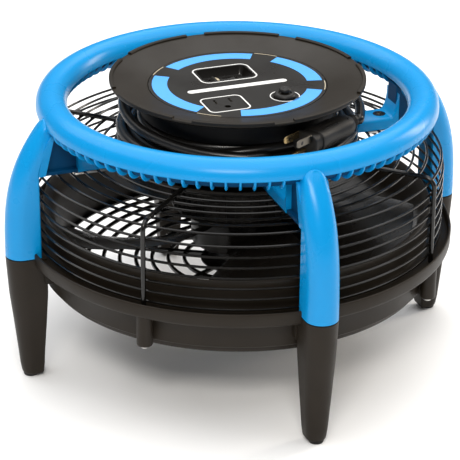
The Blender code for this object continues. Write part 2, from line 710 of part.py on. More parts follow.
def reel_dish(surface):
    """The reel's top flange, rising outwards to a rim whose lip is cut into eight."""
    inner = LABEL_R - 0.0110
    profile = [(inner, DISH_SEAT), (COLLAR_R, DISH_SEAT), (COLLAR_R + 0.0010, DISH_SEAT + 0.0030),
               (DISH_R - 0.0012, DISH_RIM - 0.0041), (DISH_R, DISH_RIM - 0.0029), (DISH_R, DISH_RIM),
               (DISH_R - 0.0034, DISH_RIM), (DISH_R - 0.0040, DISH_RIM - 0.0014),
               (LABEL_R + GAP, LABEL_TOP + 0.0002), (LABEL_R + GAP, LABEL_SEAT), (inner, LABEL_SEAT)]
    dish = turned_ring("reel_dish", profile, surface)
    gap = (0.0076, 0.160 * DISH_R, 0.0088)
    for i in range(DISH_LIPS):
        cut(dish, block(f"lip_gap_{i}_tool", (DISH_R, 0, DISH_RIM + 0.0030), gap, turn=360 * i / DISH_LIPS))
    return dish


def label_plate(surface):
    plate = turned_solid("label_plate", [(0, LABEL_BOTTOM), (LABEL_R, LABEL_BOTTOM), (LABEL_R, LABEL_TOP),
                                         (0, LABEL_TOP)], surface, SEGMENTS)
    below, above = LABEL_BOTTOM - 0.004, LABEL_TOP + 0.004
    openings = [("switch_opening_tool", SWITCH_SIZE, 0.0060, SWITCH_AT),
                ("outlet_opening_tool", OUTLET_SIZE, 0.0040, OUTLET_AT)]
    for name, size, corner, centre in openings:
        cut(plate, stacked(name, [(*size, corner, below), (*size, corner, above)], centre, None))
    return cut(plate, post("breaker_opening_tool", BREAKER_AT, 0.0056, below, above, None, 16))


def outlet(surface):
    """A grounded mains socket: a face in the label's opening and a body hanging from it."""
    wide, deep = (side - 2 * GAP for side in OUTLET_SIZE)
    body_size = (0.026, 0.022, 0.001)
    levels = [(*body_size, LABEL_TOP - 0.0220), (*body_size, LABEL_BOTTOM),
              (wide, deep, 0.0038, LABEL_BOTTOM), (wide, deep, 0.0038, LABEL_TOP)]
    body = stacked("outlet", levels, OUTLET_AT, surface)
    depth = 0.0120
    middle = LABEL_TOP + 0.001 - depth / 2
    x, y = OUTLET_AT
    slots = y + 0.0060
    for word, across in (("neutral", -1), ("line", 1)):
        place = (x + across * BLADE_SPACING / 2, slots, middle)
        cut(body, block(f"outlet_{word}_tool", place, (0.0022, 0.0078, depth)))
    low, high = middle - depth / 2, middle + depth / 2
    return cut(body, post("outlet_ground_tool", (x, slots - GROUND_DROP), 0.0027, low, high, None, 10))


def switch(surface, rocker_surface):
    switch_tray(surface)
    switch_housing(surface)
    switch_rocker(rocker_surface)


def switch_tray(surface):
    """A sunk tray in the label's opening, with a hole in its floor for the rocker."""
    wide, deep = (side - 2 * GAP for side in SWITCH_SIZE)
    lip = LABEL_TOP + 0.0004
    levels = [(wide, deep, 0.0057, lip), (wide - 0.0026, deep - 0.0026, 0.0046, lip),
              (wide - 0.0060, deep - 0.0060, 0.0035, TRAY_FLOOR), (*SWITCH_HOLE, TRAY_FLOOR),
              (*SWITCH_HOLE, TRAY_FLOOR - TRAY_WALL), (wide, deep, 0.0057, TRAY_FLOOR - TRAY_WALL)]
    stacked("switch_tray", levels, SWITCH_AT, surface, closed_path=True)


def switch_housing(surface):
    top = TRAY_FLOOR - TRAY_WALL - GAP
    wide, deep, corner = SWITCH_HOLE
    outer = (wide + 0.0034, deep + 0.0034, 0.001)
    inner = (wide - 0.0002, deep - 0.0002, corner)
    levels = [(*outer, top - 0.0180), (*outer, top), (*inner, top), (*inner, top - 0.0140)]
    stacked("switch_housing", levels, SWITCH_AT, surface)


def switch_rocker(surface):
    """Two wings with a valley between them, pivoting under the valley."""
    half, rise, side = 0.0106, 0.0062, 0.0064
    outline = [(-half, -0.0040), (0, -0.0075), (half, -0.0040), (half, rise - 0.0006),
               (half - 0.0008, rise), (0, rise - 0.0022), (-half + 0.0008, rise), (-half, rise - 0.0006)]
    loops = [[(x, y, z) for x, z in outline] for y in (-side, side)]
    rocker = add_object("switch_rocker", *stitched(loops), surface)
    rocker.location = (*SWITCH_AT, ROCKER_PIVOT_Z)
    rocker.rotation_euler.y = ROCKER_TILT


def breaker(surface, button_surface):
    """A push-to-reset breaker: body, ring nut and button."""
    bottom, shoulder = LABEL_TOP - 0.0308, LABEL_BOTTOM - 0.0004
    bore_bottom, bush_top = LABEL_TOP - 0.0058, LABEL_TOP + 0.0022
    body = [(0, bottom), (0.0075, bottom), (0.0075, shoulder), (BREAKER_THREAD, shoulder),
            (BREAKER_THREAD, bush_top), (BREAKER_BORE, bush_top), (BREAKER_BORE, bore_bottom),
            (0, bore_bottom)]
    turned_solid("breaker_body", body, surface, 16, BREAKER_AT)
    low = LABEL_TOP + GAP
    thread = BREAKER_THREAD + GAP
    nut = [(thread, low), (0.0092, low), (0.0092, low + 0.0014), (0.0080, low + 0.0029),
           (thread, low + 0.0029)]
    turned_ring("breaker_nut", nut, surface, 16, BREAKER_AT)
    room = BUTTON_TRAVEL + 0.0004
    breaker_button(bore_bottom + room, bush_top + room, button_surface)


def breaker_button(foot, cap, surface):
    """A stem that slides in the breaker's bore, under a cap with a dimple."""
    stem = BREAKER_BORE - GAP
    profile = [(0, foot), (stem, foot), (stem, cap), (0.0048, cap), (0.0048, cap + 0.0018),
               (0.0039, cap + 0.0026), (0.0018, cap + 0.0026), (0.0014, cap + 0.0019), (0, cap + 0.0019)]
    button = turned_solid("breaker_button", profile, surface, 16)
    button.location = (*BREAKER_AT, 0)


def capacitor(surface):
    floor = DRUM_FLOOR + GAP
    size = (0.040, 0.018, 0.004)
    levels = [(*size, floor), (*size, floor + 0.021)]
    return stacked("capacitor", levels, (0.030, -0.006), surface)


def plug_frame():
    """X along the plug from its face to its tail, Z up."""
    place = Vector((PLUG_R * math.cos(PLUG_AZIMUTH), PLUG_R * math.sin(PLUG_AZIMUTH), PLUG_Z))
    return Matrix.Translation(place) @ Matrix.Rotation(PLUG_AZIMUTH + math.pi / 2, 4, "Z")


def plug(rubber, brass):
    frame = plug_frame()
    tail = CORD_D / 2 + 0.0006
    levels = [(PLUG_FACE, 0.0240, 0.0260, 0.0060), (PLUG_FACE + 0.0035, 0.0240, 0.0260, 0.0060),
              (PLUG_FACE + 0.0050, 0.0200, 0.0225, 0.0050), (-0.0040, 0.0210, 0.0230, 0.0060),
              (0.0060, 0.0180, 0.0200, 0.0060), (0.0120, 0.0130, 0.0130, 0.0050),
              (PLUG_TAIL, 2 * tail, 2 * tail, 0.7 * tail)]
    loops = []
    for x, wide, tall, corner in levels:
        outline = rounded_rectangle((wide, tall), corner, steps=3)
        loops.append([frame @ Vector((x, y, z)) for y, z in outline])
    add_object("plug_body", *stitched(loops), rubber)
    prongs(frame, PLUG_FACE - GAP, brass)


def prongs(frame, root, surface):
    """Two flat blades and a round ground pin, standing out of the plug's face at `root`."""
    blade_z = GROUND_DROP / 2
    corners = ((-1, -1), (1, -1), (1, 1), (-1, 1))
    for number, side in ((1, -1), (2, 1)):
        middle = side * BLADE_SPACING / 2
        loops = []
        for x, tall in ((root, 0.0063), (root - 0.0155, 0.0063), (root - 0.0175, 0.0040)):
            loops.append([frame @ Vector((x, middle + 0.00075 * y, blade_z + z * tall / 2))
                          for y, z in corners])
        add_object(f"plug_blade_{number}", *stitched(loops), surface)
    angles = [math.tau * i / 10 for i in range(10)]
    pin_z = blade_z - GROUND_DROP
    loops = []
    for x, radius in ((root, 0.0024), (root - 0.0190, 0.0024), (root - 0.0210, 0.0014)):
        loops.append([frame @ Vector((x, radius * math.cos(a), pin_z + radius * math.sin(a)))
                      for a in angles])
    add_object("plug_ground_pin", *stitched(loops), surface)


def cord_route():
    """The loose last turn, from the plug's tail round the drum and down on to the wound cord."""
    frame = plug_frame()
    leaving = [frame @ Vector((PLUG_TAIL + along, 0, 0)) for along in (GAP, 0.5 * CORD_D, CORD_D)]
    rest = COIL_LOW + CORD_D / 2 + GAP
    lay = PLUG_R - 0.0030
    turns = [(-20, lay + 0.0060, PLUG_Z + 0.0010), (5, lay + 0.0015, PLUG_Z + 0.0020),
             (35, lay, PLUG_Z + 0.0020), (65, lay - 0.0010, PLUG_Z + 0.0020),
             (100, lay - 0.0010, PLUG_Z + 0.0020), (135, lay, PLUG_Z + 0.0020),
             (165, lay + 0.0010, PLUG_Z + 0.0010), (195, lay + 0.0010, PLUG_Z - 0.0030),
             (225, lay, rest + 0.0020), (250, lay, rest), (262, lay, rest)]
    route = leaving
    for degrees, radius, z in turns:
        angle = math.radians(degrees)
        route.append(Vector((radius * math.cos(angle), radius * math.sin(angle), z)))
    return route


def cord(surface):
    points = through(cord_route(), 2)
    curve = bpy.data.curves.new("cord_tail", "CURVE")
    curve.dimensions = "3D"
    curve.bevel_depth = CORD_D / 2
    curve.bevel_resolution = 2
    curve.use_fill_caps = True
    spline = curve.splines.new("POLY")
    spline.points.add(len(points) - 1)
    for slot, point in zip(spline.points, points):
        slot.co = (*point, 1.0)
    curve.materials.append(surface)
    tail = bpy.data.objects.new("cord_tail", curve)
    bpy.context.collection.objects.link(tail)
    inner = CORE_R + GAP
    profile = [(inner, COIL_BOTTOM), (COIL_R, COIL_BOTTOM), (COIL_R, COIL_LOW), (COIL_STEP_R, COIL_LOW),
               (COIL_STEP_R, COIL_HIGH), (inner, COIL_HIGH)]
    turned_ring("cord_coil", profile, surface, 32)


def build():
    clear_scene()
    blue = material("blue_plastic", (0.012, 0.250, 0.640), 0.38)
    black = material("black_plastic", (0.022, 0.020, 0.018), 0.52)
    rubber = material("black_rubber", (0.012, 0.012, 0.012), 0.62)
    wire = material("black_wire", (0.015, 0.014, 0.013), 0.30, 0.4)
    label = material("label_face", (0.030, 0.028, 0.026), 0.45)
    steel = material("steel", (0.55, 0.54, 0.52), 0.30, 1.0)
    casting = material("motor_casting", (0.32, 0.32, 0.31), 0.45, 0.9)
    windings = material("motor_windings", (0.40, 0.16, 0.07), 0.45, 0.6)
    brass = material("brass", (0.70, 0.52, 0.26), 0.28, 1.0)
    fan_plastic = material("fan_plastic", (0.020, 0.019, 0.018), 0.42)
    cord_jacket = material("cord_jacket", (0.012, 0.012, 0.012), 0.40)

    handle_ring(blue)
    clearance = ring_clearance()
    for side, turn in LEGS.items():
        upper_leg(side, turn, blue, clearance)
        lower_leg(side, turn, black)
        foot_pad(side, turn, rubber)
        arm_screw(side, turn, steel)
        guard_clamp(side, turn, steel)
    shroud(black)
    for place in POSTS:
        guard_screw(place, steel)
    wire_guard(wire)
    outlet_guard(wire)
    hub_plate(steel)
    motor(casting, windings, steel)
    fan(fan_plastic)
    fan_nut(steel)
    reel_drum(black)
    reel_dish(black)
    label_plate(label)
    outlet(black)
    switch(black, rubber)
    breaker(black, rubber)
    capacitor(black)
    cord_gland(rubber)
    plug(rubber, brass)
    cord(cord_jacket)


build()
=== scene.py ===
"""The look of the air mover: smooth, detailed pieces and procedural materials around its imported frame.

Places come from the frame's boxes. The legs stand on the X and Y axes and +Z is up, in metres."""

import math

import bmesh
import bpy
from mathutils import Matrix, Quaternion, Vector


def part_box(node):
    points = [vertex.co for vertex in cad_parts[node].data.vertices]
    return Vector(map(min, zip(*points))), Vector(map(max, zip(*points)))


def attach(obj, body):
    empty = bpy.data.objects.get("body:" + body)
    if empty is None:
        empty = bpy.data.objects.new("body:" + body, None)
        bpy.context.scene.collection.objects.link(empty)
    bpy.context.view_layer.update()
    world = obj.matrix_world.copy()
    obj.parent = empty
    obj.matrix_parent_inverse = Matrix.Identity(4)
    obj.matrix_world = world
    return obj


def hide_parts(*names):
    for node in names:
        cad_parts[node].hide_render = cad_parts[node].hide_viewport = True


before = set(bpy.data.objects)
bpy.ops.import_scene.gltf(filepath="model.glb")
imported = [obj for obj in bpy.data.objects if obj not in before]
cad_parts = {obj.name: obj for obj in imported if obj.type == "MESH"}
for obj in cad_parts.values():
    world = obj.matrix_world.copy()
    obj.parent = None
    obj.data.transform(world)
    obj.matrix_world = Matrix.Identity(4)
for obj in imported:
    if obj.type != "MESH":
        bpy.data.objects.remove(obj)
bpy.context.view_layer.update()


def low(node):
    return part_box(node)[0]


def high(node):
    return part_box(node)[1]


def middle(node):
    return (low(node) + high(node)) / 2


def opening(node):
    """Width and depth of the hole that a part sits in."""
    size = high(node) - low(node)
    return size.x + 2 * GAP, size.y + 2 * GAP


GAP = 0.0003  # between neighbouring parts, as in the CAD
LEGS = {"front": -90, "right": 0, "back": 90, "left": 180}
DIAGONALS = (-135, -45, 45, 135)
ROUND = 160  # segments round the large turned pieces

# The handle ring
RING_TUBE = 0.0128
RING_R = high("handle_ring").x
RING_MID = RING_R - RING_TUBE
RING_Z = high("handle_ring").z - RING_TUBE
RIBS_PER_QUARTER = 20
RIBS_SPREAD = 74  # degrees of each quarter
LEG_TOP = RING_Z + 0.005  # where the legs' rounded tops end on the ring
LEG_ARCH = 0.0095  # height and half width of those tops

# The legs
SPLIT_Z = low("upper_leg_front").z
LEG_OUT = high("upper_leg_right").x
LEG_WIDTH = 2 * high("upper_leg_front").x
LEG_INNER = LEG_OUT - LEG_WIDTH
ARM_BOTTOM = high("hub_plate").z + GAP
ARM_TOP = ARM_BOTTOM + 0.0096
ARM_SEAT = low("reel_drum").z - GAP
ARM_WIDTH = 0.024
ARM_SCREW_R = middle("arm_screw_right").x
PAD_R = middle("foot_pad_right").x
FOOT_MID = PAD_R - 0.001
FOOT_WIDTH = 0.017
PAD_TOP = high("foot_pad_front").z

# The guard and the shroud
HOOP_WIRE = 0.0011
POST_WIRE = 0.002
GUARD_TOP = high("hub_plate").z - HOOP_WIRE
GUARD_R = LEG_INNER - GAP - 2 * HOOP_WIRE
HOOP_PITCH = 0.011
SIDE_HOOPS = 7
WALL_R = RING_R
FLANGE_R = RING_R + 0.015
FLANGE_TOP = SPLIT_Z + 0.0053
TROUGH_Z = SPLIT_Z - 0.002
THROAT_R = RING_R - 0.0135
SHROUD_BOTTOM = low("shroud").z
BOSS_R = FLANGE_R - 0.0078
BOSS_BOTTOM = SPLIT_Z - 0.033

# The motor and the fan
MOTOR_R = high("motor_housing").x
MOTOR_TOP = high("motor_housing").z
MOTOR_BOTTOM = low("motor_end_bell").z
FAN_TOP = high("fan_rotor").z
FAN_R = THROAT_R - 0.003
FAN_HUB_R = 0.038
FAN_BLADES = 5
FAN_PHASE = 50  # degrees; the gaps between the blades are seen through the guard
BLADE_LOW = SPLIT_Z - 0.019
BLADE_HIGH = FAN_TOP - 0.001

# The reel and what sits in its label
CORD_D = 0.0084
COIL_LAYERS = 4
COIL_ROWS = 3
CORE_R = -low("cord_coil").x - COIL_LAYERS * CORD_D - GAP
REEL_FLANGE_R = high("reel_drum").x
COLLAR_R = 0.08
DISH_R = high("reel_dish").x
DISH_RIM = high("reel_dish").z
DISH_SEAT = low("reel_dish").z
COIL_BOTTOM = low("cord_coil").z
COIL_HIGH = high("cord_coil").z
COIL_LOW = COIL_BOTTOM + 2 * CORD_D
LABEL_R = high("label_plate").x
LABEL_TOP = high("label_plate").z
SWITCH_AT = middle("switch_tray").xy
SWITCH_SIZE = opening("switch_tray")
OUTLET_AT = middle("outlet").xy
OUTLET_SIZE = opening("outlet")
BREAKER_AT = middle("breaker_nut").xy
GLAND_AZIMUTH = 200
GLAND_Z = COIL_BOTTOM + CORD_D
JOIN_AZIMUTH = 262  # where the loose turn meets the wound ones

# The plug lies along a tangent of the reel; in its own frame X runs from face to tail and Z is up
PLUG_AZIMUTH = -61
PLUG_R = 0.0959
PLUG_Z = 0.2195
PLUG_FACE = -0.031
PLUG_TAIL = 0.031
PLUG = (Matrix.Rotation(math.radians(PLUG_AZIMUTH), 4, "Z") @ Matrix.Translation((PLUG_R, 0, PLUG_Z))
        @ Matrix.Rotation(math.radians(90), 4, "Z"))
PRONG_ROOT = PLUG_FACE - GAP
BLADE_APART = 0.0127  # between the two flat blades, as in every outlet of this kind
PIN_DROP = 0.0119  # from the blades down to the round pin
BLADE_RISE = PIN_DROP / 2


# ---- camera, light and floor

CAMERA_AT = Vector((-0.5713, -1.5094, 0.867))
LOOK_AT = Vector((-0.0049, 0.0018, 0.1034))
CAMERA_ROLL = 0.0073
LENS = 165.56


def placed(name, data):
    """An object that holds the data, linked to the scene."""
    made = bpy.data.objects.new(name, data)
    bpy.context.scene.collection.objects.link(made)
    return made


def fill(node, values):
    """Values straight on a shader node's sockets."""
    for socket, value in values.items():
        node.inputs[socket].default_value = value


def camera():
    lens = bpy.data.cameras.new("camera")
    lens.lens = LENS
    lens.clip_start, lens.clip_end = 0.05, 20
    eye = placed("camera", lens)
    eye.location = CAMERA_AT
    eye.rotation_mode = "QUATERNION"
    aim = (LOOK_AT - CAMERA_AT).to_track_quat("-Z", "Y")
    eye.rotation_quaternion = aim @ Quaternion((0, 0, 1), CAMERA_ROLL)
    bpy.context.scene.camera = eye


def softbox(name, place, size, power, tint=(1, 1, 1)):
    """A rectangular light that looks at the air mover."""
    light = bpy.data.lights.new(name, "AREA")
    light.shape = "RECTANGLE"
    light.size, light.size_y = size
    light.energy = power
    light.color = tint
    lamp = placed(name, light)
    lamp.location = place
    lamp.rotation_mode = "QUATERNION"
    lamp.rotation_quaternion = (Vector((0, 0, 0.12)) - Vector(place)).to_track_quat("-Z", "Y")


def studio():
    """A dim room under a wide soft ceiling, with a key light in front and a warm one at the side."""
    scene = bpy.context.scene
    scene.view_settings.view_transform = "Standard"
    world = bpy.data.worlds.new("room")
    world.use_nodes = True
    fill(world.node_tree.nodes["Background"], {"Color": (1, 1, 1, 1), "Strength": 0.22})
    scene.world = world
    softbox("ceiling", (0, 0.4, 2.6), (5, 5), 170)
    softbox("key", (-0.8, -1.8, 1.8), (0.9, 0.5), 30, (1.0, 0.96, 0.9))
    softbox("side", (1.7, 0.2, 0.7), (0.3, 0.9), 12, (1.0, 0.9, 0.78))
    floor = bpy.data.meshes.new("floor")
    reach = 6
    floor.from_pydata([(-reach, -reach, 0), (reach, -reach, 0), (reach, reach, 0), (-reach, reach, 0)],
                      [], [(0, 1, 2, 3)])
    floor.materials.append(plain("floor_paper", (0.93, 0.93, 0.93), 0.9))
    placed("floor", floor)


# ---- materials

def plain(name, colour, roughness, metallic=0.0):
    made = bpy.data.materials.new(name)
    made.use_nodes = True
    fill(made.node_tree.nodes["Principled BSDF"],
         {"Base Color": (*colour, 1), "Roughness": roughness, "Metallic": metallic})
    return made


def moulded(name, colour, shade, roughness, grain=0.00035, relief=0.00002, metallic=0.0, spread=0.1,
            shine=0.36):
    """A surface whose colour drifts from `colour` to `shade` in soft patches, under a fine grain.

    `grain` is the grain's size and `relief` its height; `spread` is how far the roughness wanders."""
    made = plain(name, colour, roughness, metallic)
    tree = made.node_tree
    shader = tree.nodes["Principled BSDF"]
    fill(shader, {"Specular IOR Level": shine})
    place = tree.nodes.new("ShaderNodeTexCoord")
    mix = tree.nodes.new("ShaderNodeMix")
    mix.data_type = "RGBA"
    fill(mix, {"A": (*colour, 1), "B": (*shade, 1)})
    tree.links.new(noise(tree, place, 50, 3), mix.inputs["Factor"])
    tree.links.new(mix.outputs["Result"], shader.inputs["Base Color"])
    rough = tree.nodes.new("ShaderNodeMapRange")
    fill(rough, {"From Min": 0.3, "From Max": 0.7, "To Min": max(0.02, roughness - spread),
                 "To Max": min(1.0, roughness + spread)})
    tree.links.new(noise(tree, place, 17.5, 5), rough.inputs["Value"])
    tree.links.new(rough.outputs["Result"], shader.inputs["Roughness"])
    bump = tree.nodes.new("ShaderNodeBump")
    fill(bump, {"Strength": 1.0, "Distance": relief})
    tree.links.new(noise(tree, place, 1 / grain, 2), bump.inputs["Height"])
    tree.links.new(bump.outputs["Normal"], shader.inputs["Normal"])
    return made


def noise(tree, place, scale, detail):
    """The output of a noise that is fixed to the object."""
    node = tree.nodes.new("ShaderNodeTexNoise")
    fill(node, {"Scale": scale, "Detail": detail})
    tree.links.new(place.outputs["Object"], node.inputs["Vector"])
    return node.outputs["Fac"]


BLUE = moulded("blue_plastic", (0.001, 0.275, 0.64), (0.0008, 0.248, 0.585), 0.27, relief=0.00001,
               spread=0.04, shine=0.28)
# Painted shade: a much darker, duller copy of the blue for the ring's recessed core and the legs' pocket
# blocks
BLUE_PAINTED_SHADE = moulded("blue_painted_shade", (0.0006, 0.05, 0.135), (0.0004, 0.04, 0.11), 0.5, shine=0.1)
BLACK = moulded("black_plastic", (0.0122, 0.0087, 0.0053), (0.0178, 0.0129, 0.008), 0.46, grain=0.0006,
                relief=0.00005, shine=0.2)
GLOSS_BLACK = moulded("black_gloss_plastic", (0.004, 0.0034, 0.0028), (0.007, 0.006, 0.005), 0.26,
                      grain=0.001)
DISH_BLACK = moulded("dish_plastic", (0.0125, 0.0094, 0.006), (0.0175, 0.0135, 0.0088), 0.38,
                     grain=0.0005, relief=0.00004, shine=0.22)
RUBBER = moulded("black_rubber", (0.006, 0.0052, 0.0044), (0.01, 0.0088, 0.0075), 0.5, grain=0.0005,
                 relief=0.00003)
WIRE = moulded("black_wire", (0.002, 0.0017, 0.0013), (0.004, 0.0033, 0.0025), 0.2, grain=0.001,
               spread=0.06, shine=0.42)
CORD = moulded("cord_jacket", (0.004, 0.0036, 0.0032), (0.007, 0.0062, 0.0054), 0.3, grain=0.0006,
               relief=0.00003)
LABEL = moulded("label_film", (0.005, 0.004, 0.0028), (0.008, 0.0064, 0.0046), 0.34, grain=0.0004)
DRUM = moulded("drum_plastic", (0.0016, 0.0016, 0.0018), (0.0026, 0.0025, 0.0026), 0.52, grain=0.001,
               shine=0.14)
LABEL_BLUE = moulded("label_blue", (0.08, 0.37, 0.9), (0.07, 0.34, 0.84), 0.4, grain=0.0004)
LABEL_WHITE = moulded("label_white", (0.82, 0.82, 0.8), (0.76, 0.76, 0.74), 0.4, grain=0.0004)
LABEL_CREAM = moulded("label_cream", (0.6, 0.52, 0.38), (0.52, 0.45, 0.32), 0.4, grain=0.0004)
STEEL = moulded("plated_steel", (0.55, 0.54, 0.52), (0.48, 0.47, 0.45), 0.32, grain=0.0008, metallic=1.0)
DARK_STEEL = moulded("blackened_steel", (0.04, 0.036, 0.03), (0.07, 0.06, 0.05), 0.36, grain=0.0006,
                     metallic=0.9)
CASTING = moulded("motor_casting", (0.03, 0.028, 0.025), (0.05, 0.046, 0.042), 0.42, grain=0.0012,
                  relief=0.00008, metallic=0.5)
WINDINGS = moulded("motor_windings", (0.4, 0.16, 0.07), (0.3, 0.11, 0.05), 0.45, metallic=0.6)
BRASS = moulded("brass", (0.46, 0.34, 0.17), (0.34, 0.25, 0.12), 0.28, grain=0.0007, metallic=1.0)
NICKEL = moulded("nickel", (0.2, 0.18, 0.15), (0.13, 0.12, 0.1), 0.34, grain=0.0007, metallic=1.0)
FAN = moulded("fan_plastic", (0.006, 0.005, 0.004), (0.011, 0.009, 0.007), 0.26, grain=0.001,
              relief=0.00003)


# ---- shaping

def upright(profile, angle, at=(0, 0)):
    """A (radius, height) profile stood up at an angle round the vertical axis through `at`."""
    return [(at[0] + r * math.cos(angle), at[1] + r * math.sin(angle), z) for r, z in profile]


class Shape:
    """Points and faces gathered for one piece; each face keeps the place of its material."""

    def __init__(self):
        self.points, self.faces, self.places = [], [], []

    def add(self, points, faces, place=0):
        start = len(self.points)
        self.points += [Vector(point) for point in points]
        self.faces += [tuple(k + start for k in face) for face in faces]
        self.places += [place] * len(faces)

    def skin(self, loops, closed=False, place=0, at=Matrix()):
        """A skin over loops of equal length, seen from the frame `at`; an open run of loops is capped."""
        count = len(loops[0])
        faces = []
        for i in range(len(loops) if closed else len(loops) - 1):
            here, there = i * count, (i + 1) % len(loops) * count
            for k in range(count):
                after = (k + 1) % count
                faces.append((here + k, here + after, there + after, there + k))
        if not closed:
            faces.append(tuple(range(count)))
            faces.append(tuple(range((len(loops) - 1) * count, len(loops) * count)))
        self.add([at @ Vector(point) for loop in loops for point in loop], faces, place)

    def ring(self, profile, segments=ROUND, place=0, at=(0, 0)):
        """A closed (radius, height) profile turned about a vertical axis that it doesn't touch."""
        angles = [math.tau * i / segments for i in range(segments)]
        self.skin([upright(profile, angle, at) for angle in angles], True, place)

    def arc(self, profile, start, end, segments, place=0):
        """A closed (radius, height) profile turned from one azimuth to another, in degrees."""
        angles = [math.radians(start + (end - start) * i / segments) for i in range(segments + 1)]
        self.skin([upright(profile, angle) for angle in angles], False, place)

    def solid(self, profile, segments=48, place=0, at=(0, 0)):
        """A (radius, height) profile whose first and last points are on the axis, turned."""
        body = profile[1:-1]
        points = [(*at, profile[0][1]), (*at, profile[-1][1])]
        points += [(x, y, z) for r, z in body for x, y in circle(r, segments, at)]
        top = 2 + (len(body) - 1) * segments
        faces = []
        for i in range(segments):
            after = (i + 1) % segments
            faces.append((0, 2 + i, 2 + after))
            faces.append((1, top + i, top + after))
            for row in range(len(body) - 1):
                here, there = 2 + row * segments, 2 + (row + 1) * segments
                faces.append((here + i, here + after, there + after, there + i))
        self.add(points, faces, place)

    def tube(self, path, radius, sides=10, closed=False, place=0):
        """A round tube along a path; `radius` is one value or one for each point of the path."""
        path = [Vector(point) for point in path]
        radii = radius if isinstance(radius, list) else [radius] * len(path)
        loops = []
        side = None
        for i, point in enumerate(path):
            before = path[i - 1] if closed or i else path[0]
            after = path[(i + 1) % len(path)] if closed or i < len(path) - 1 else path[-1]
            along = (after - before).normalized()
            if side is None:
                side = along.cross(Vector((0.123, 0.456, 0.881))).normalized()
            side = (side - along * side.dot(along)).normalized()
            up = along.cross(side)
            loops.append([point + u * side + v * up for u, v in circle(radii[i], sides)])
        self.skin(loops, closed, place)

    def slab(self, outline, bottom, top, place=0):
        """A block on a flat outline."""
        self.skin([[(x, y, z) for x, y in outline] for z in (bottom, top)], False, place)

    def box(self, centre, size, place=0, at=Matrix()):
        x, y, z = (side / 2 for side in size)
        corners = ((-x, -y), (x, -y), (x, y), (-x, y))
        loops = [[Vector(centre) + Vector((u, v, w)) for u, v in corners] for w in (-z, z)]
        self.skin(loops, False, place, at)

    def turned(self, degrees):
        """The same shape turned about Z."""
        other = Shape()
        turn = Matrix.Rotation(math.radians(degrees), 3, "Z")
        other.points = [turn @ point for point in self.points]
        other.faces, other.places = self.faces, self.places
        return other

    def include(self, other):
        """Another shape's points and faces too."""
        start = len(self.points)
        self.points += other.points
        self.faces += [tuple(k + start for k in face) for face in other.faces]
        self.places += other.places

    def piece(self, name, surfaces, slot, body="frame", nodes=(), sharp=38, bevel=0.0):
        """The finished piece: normals out, smooth but for its sharp edges, riding on its body."""
        mesh = bpy.data.meshes.new(name)
        mesh.from_pydata(self.points, [], self.faces)
        for surface in surfaces:
            mesh.materials.append(surface)
        mesh.polygons.foreach_set("material_index", self.places)
        work = bmesh.new()
        work.from_mesh(mesh)
        bmesh.ops.recalc_face_normals(work, faces=work.faces)
        work.to_mesh(mesh)
        work.free()
        mesh.shade_smooth()
        mesh.set_sharp_from_angle(angle=math.radians(sharp))
        made = placed(name, mesh)
        if bevel:
            soften = made.modifiers.new("soften", "BEVEL")
            soften.width = bevel
            soften.segments = 2
            soften.limit_method = "ANGLE"
            soften.angle_limit = math.radians(sharp)
            soften.harden_normals = True
        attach(made, body)
        if nodes:
            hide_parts(*nodes)
        return made


def around(azimuth, radius, z):
    """The point at an azimuth in degrees, a distance from the axis and a height."""
    return Vector(upright([(radius, z)], math.radians(azimuth))[0])


def spin(degrees, pivot=(0, 0)):
    """A turn about the upright axis through the pivot."""
    there = Matrix.Translation((*pivot[:2], 0))
    return there @ Matrix.Rotation(math.radians(degrees), 4, "Z") @ there.inverted()


def arc_points(centre, radius, start, end, steps):
    """Points on an arc in a (radius, height) profile; angles in degrees from outwards to up."""
    angles = [math.radians(start + (end - start) * i / steps) for i in range(steps + 1)]
    return [(centre[0] + radius * math.cos(a), centre[1] + radius * math.sin(a)) for a in angles]


def circle(radius, sides, centre=(0, 0)):
    return arc_points(centre, radius, 0, 360, sides)[:-1]


def shifted(profile, out, up):
    """A (radius, height) profile moved outwards and up."""
    return [(out + r, up + z) for r, z in profile]


def rounded_rectangle(size, corner, centre=(0, 0), steps=6):
    points = []
    for quarter, (across, along) in enumerate(((1, 1), (-1, 1), (-1, -1), (1, -1))):
        x = centre[0] + across * (size[0] / 2 - corner)
        y = centre[1] + along * (size[1] / 2 - corner)
        points += arc_points((x, y), corner, 90 * quarter, 90 * (quarter + 1), steps - 1)
    return points


def stroke(shape, outer, inner, bottom, top, place):
    """A flat band between two outlines with the same number of points."""
    loops = [[(x, y, z) for x, y in outline]
             for outline, z in ((outer, bottom), (outer, top), (inner, top), (inner, bottom))]
    shape.skin(loops, True, place)


def straight(places, share):
    """The value at `share` on straight runs through (share, value) places."""
    for (a, first), (b, second) in zip(places, places[1:]):
        if share <= b:
            return first + (second - first) * (share - a) / (b - a)
    return places[-1][1]


# ---- cord and plug

def through(points, steps):
    """Points along a smooth curve through the given ones, `steps` to each span."""
    ends = [2 * points[0] - points[1], *points, 2 * points[-1] - points[-2]]
    found = []
    for a, b, c, d in zip(ends, ends[1:], ends[2:], ends[3:]):
        for i in range(steps):
            t = i / steps
            found.append(0.5 * (2 * b + (c - a) * t + (2 * a - 5 * b + 4 * c - d) * t * t
                                + (3 * b - a - 3 * c + d) * t ** 3))
    return [*found, points[-1]]


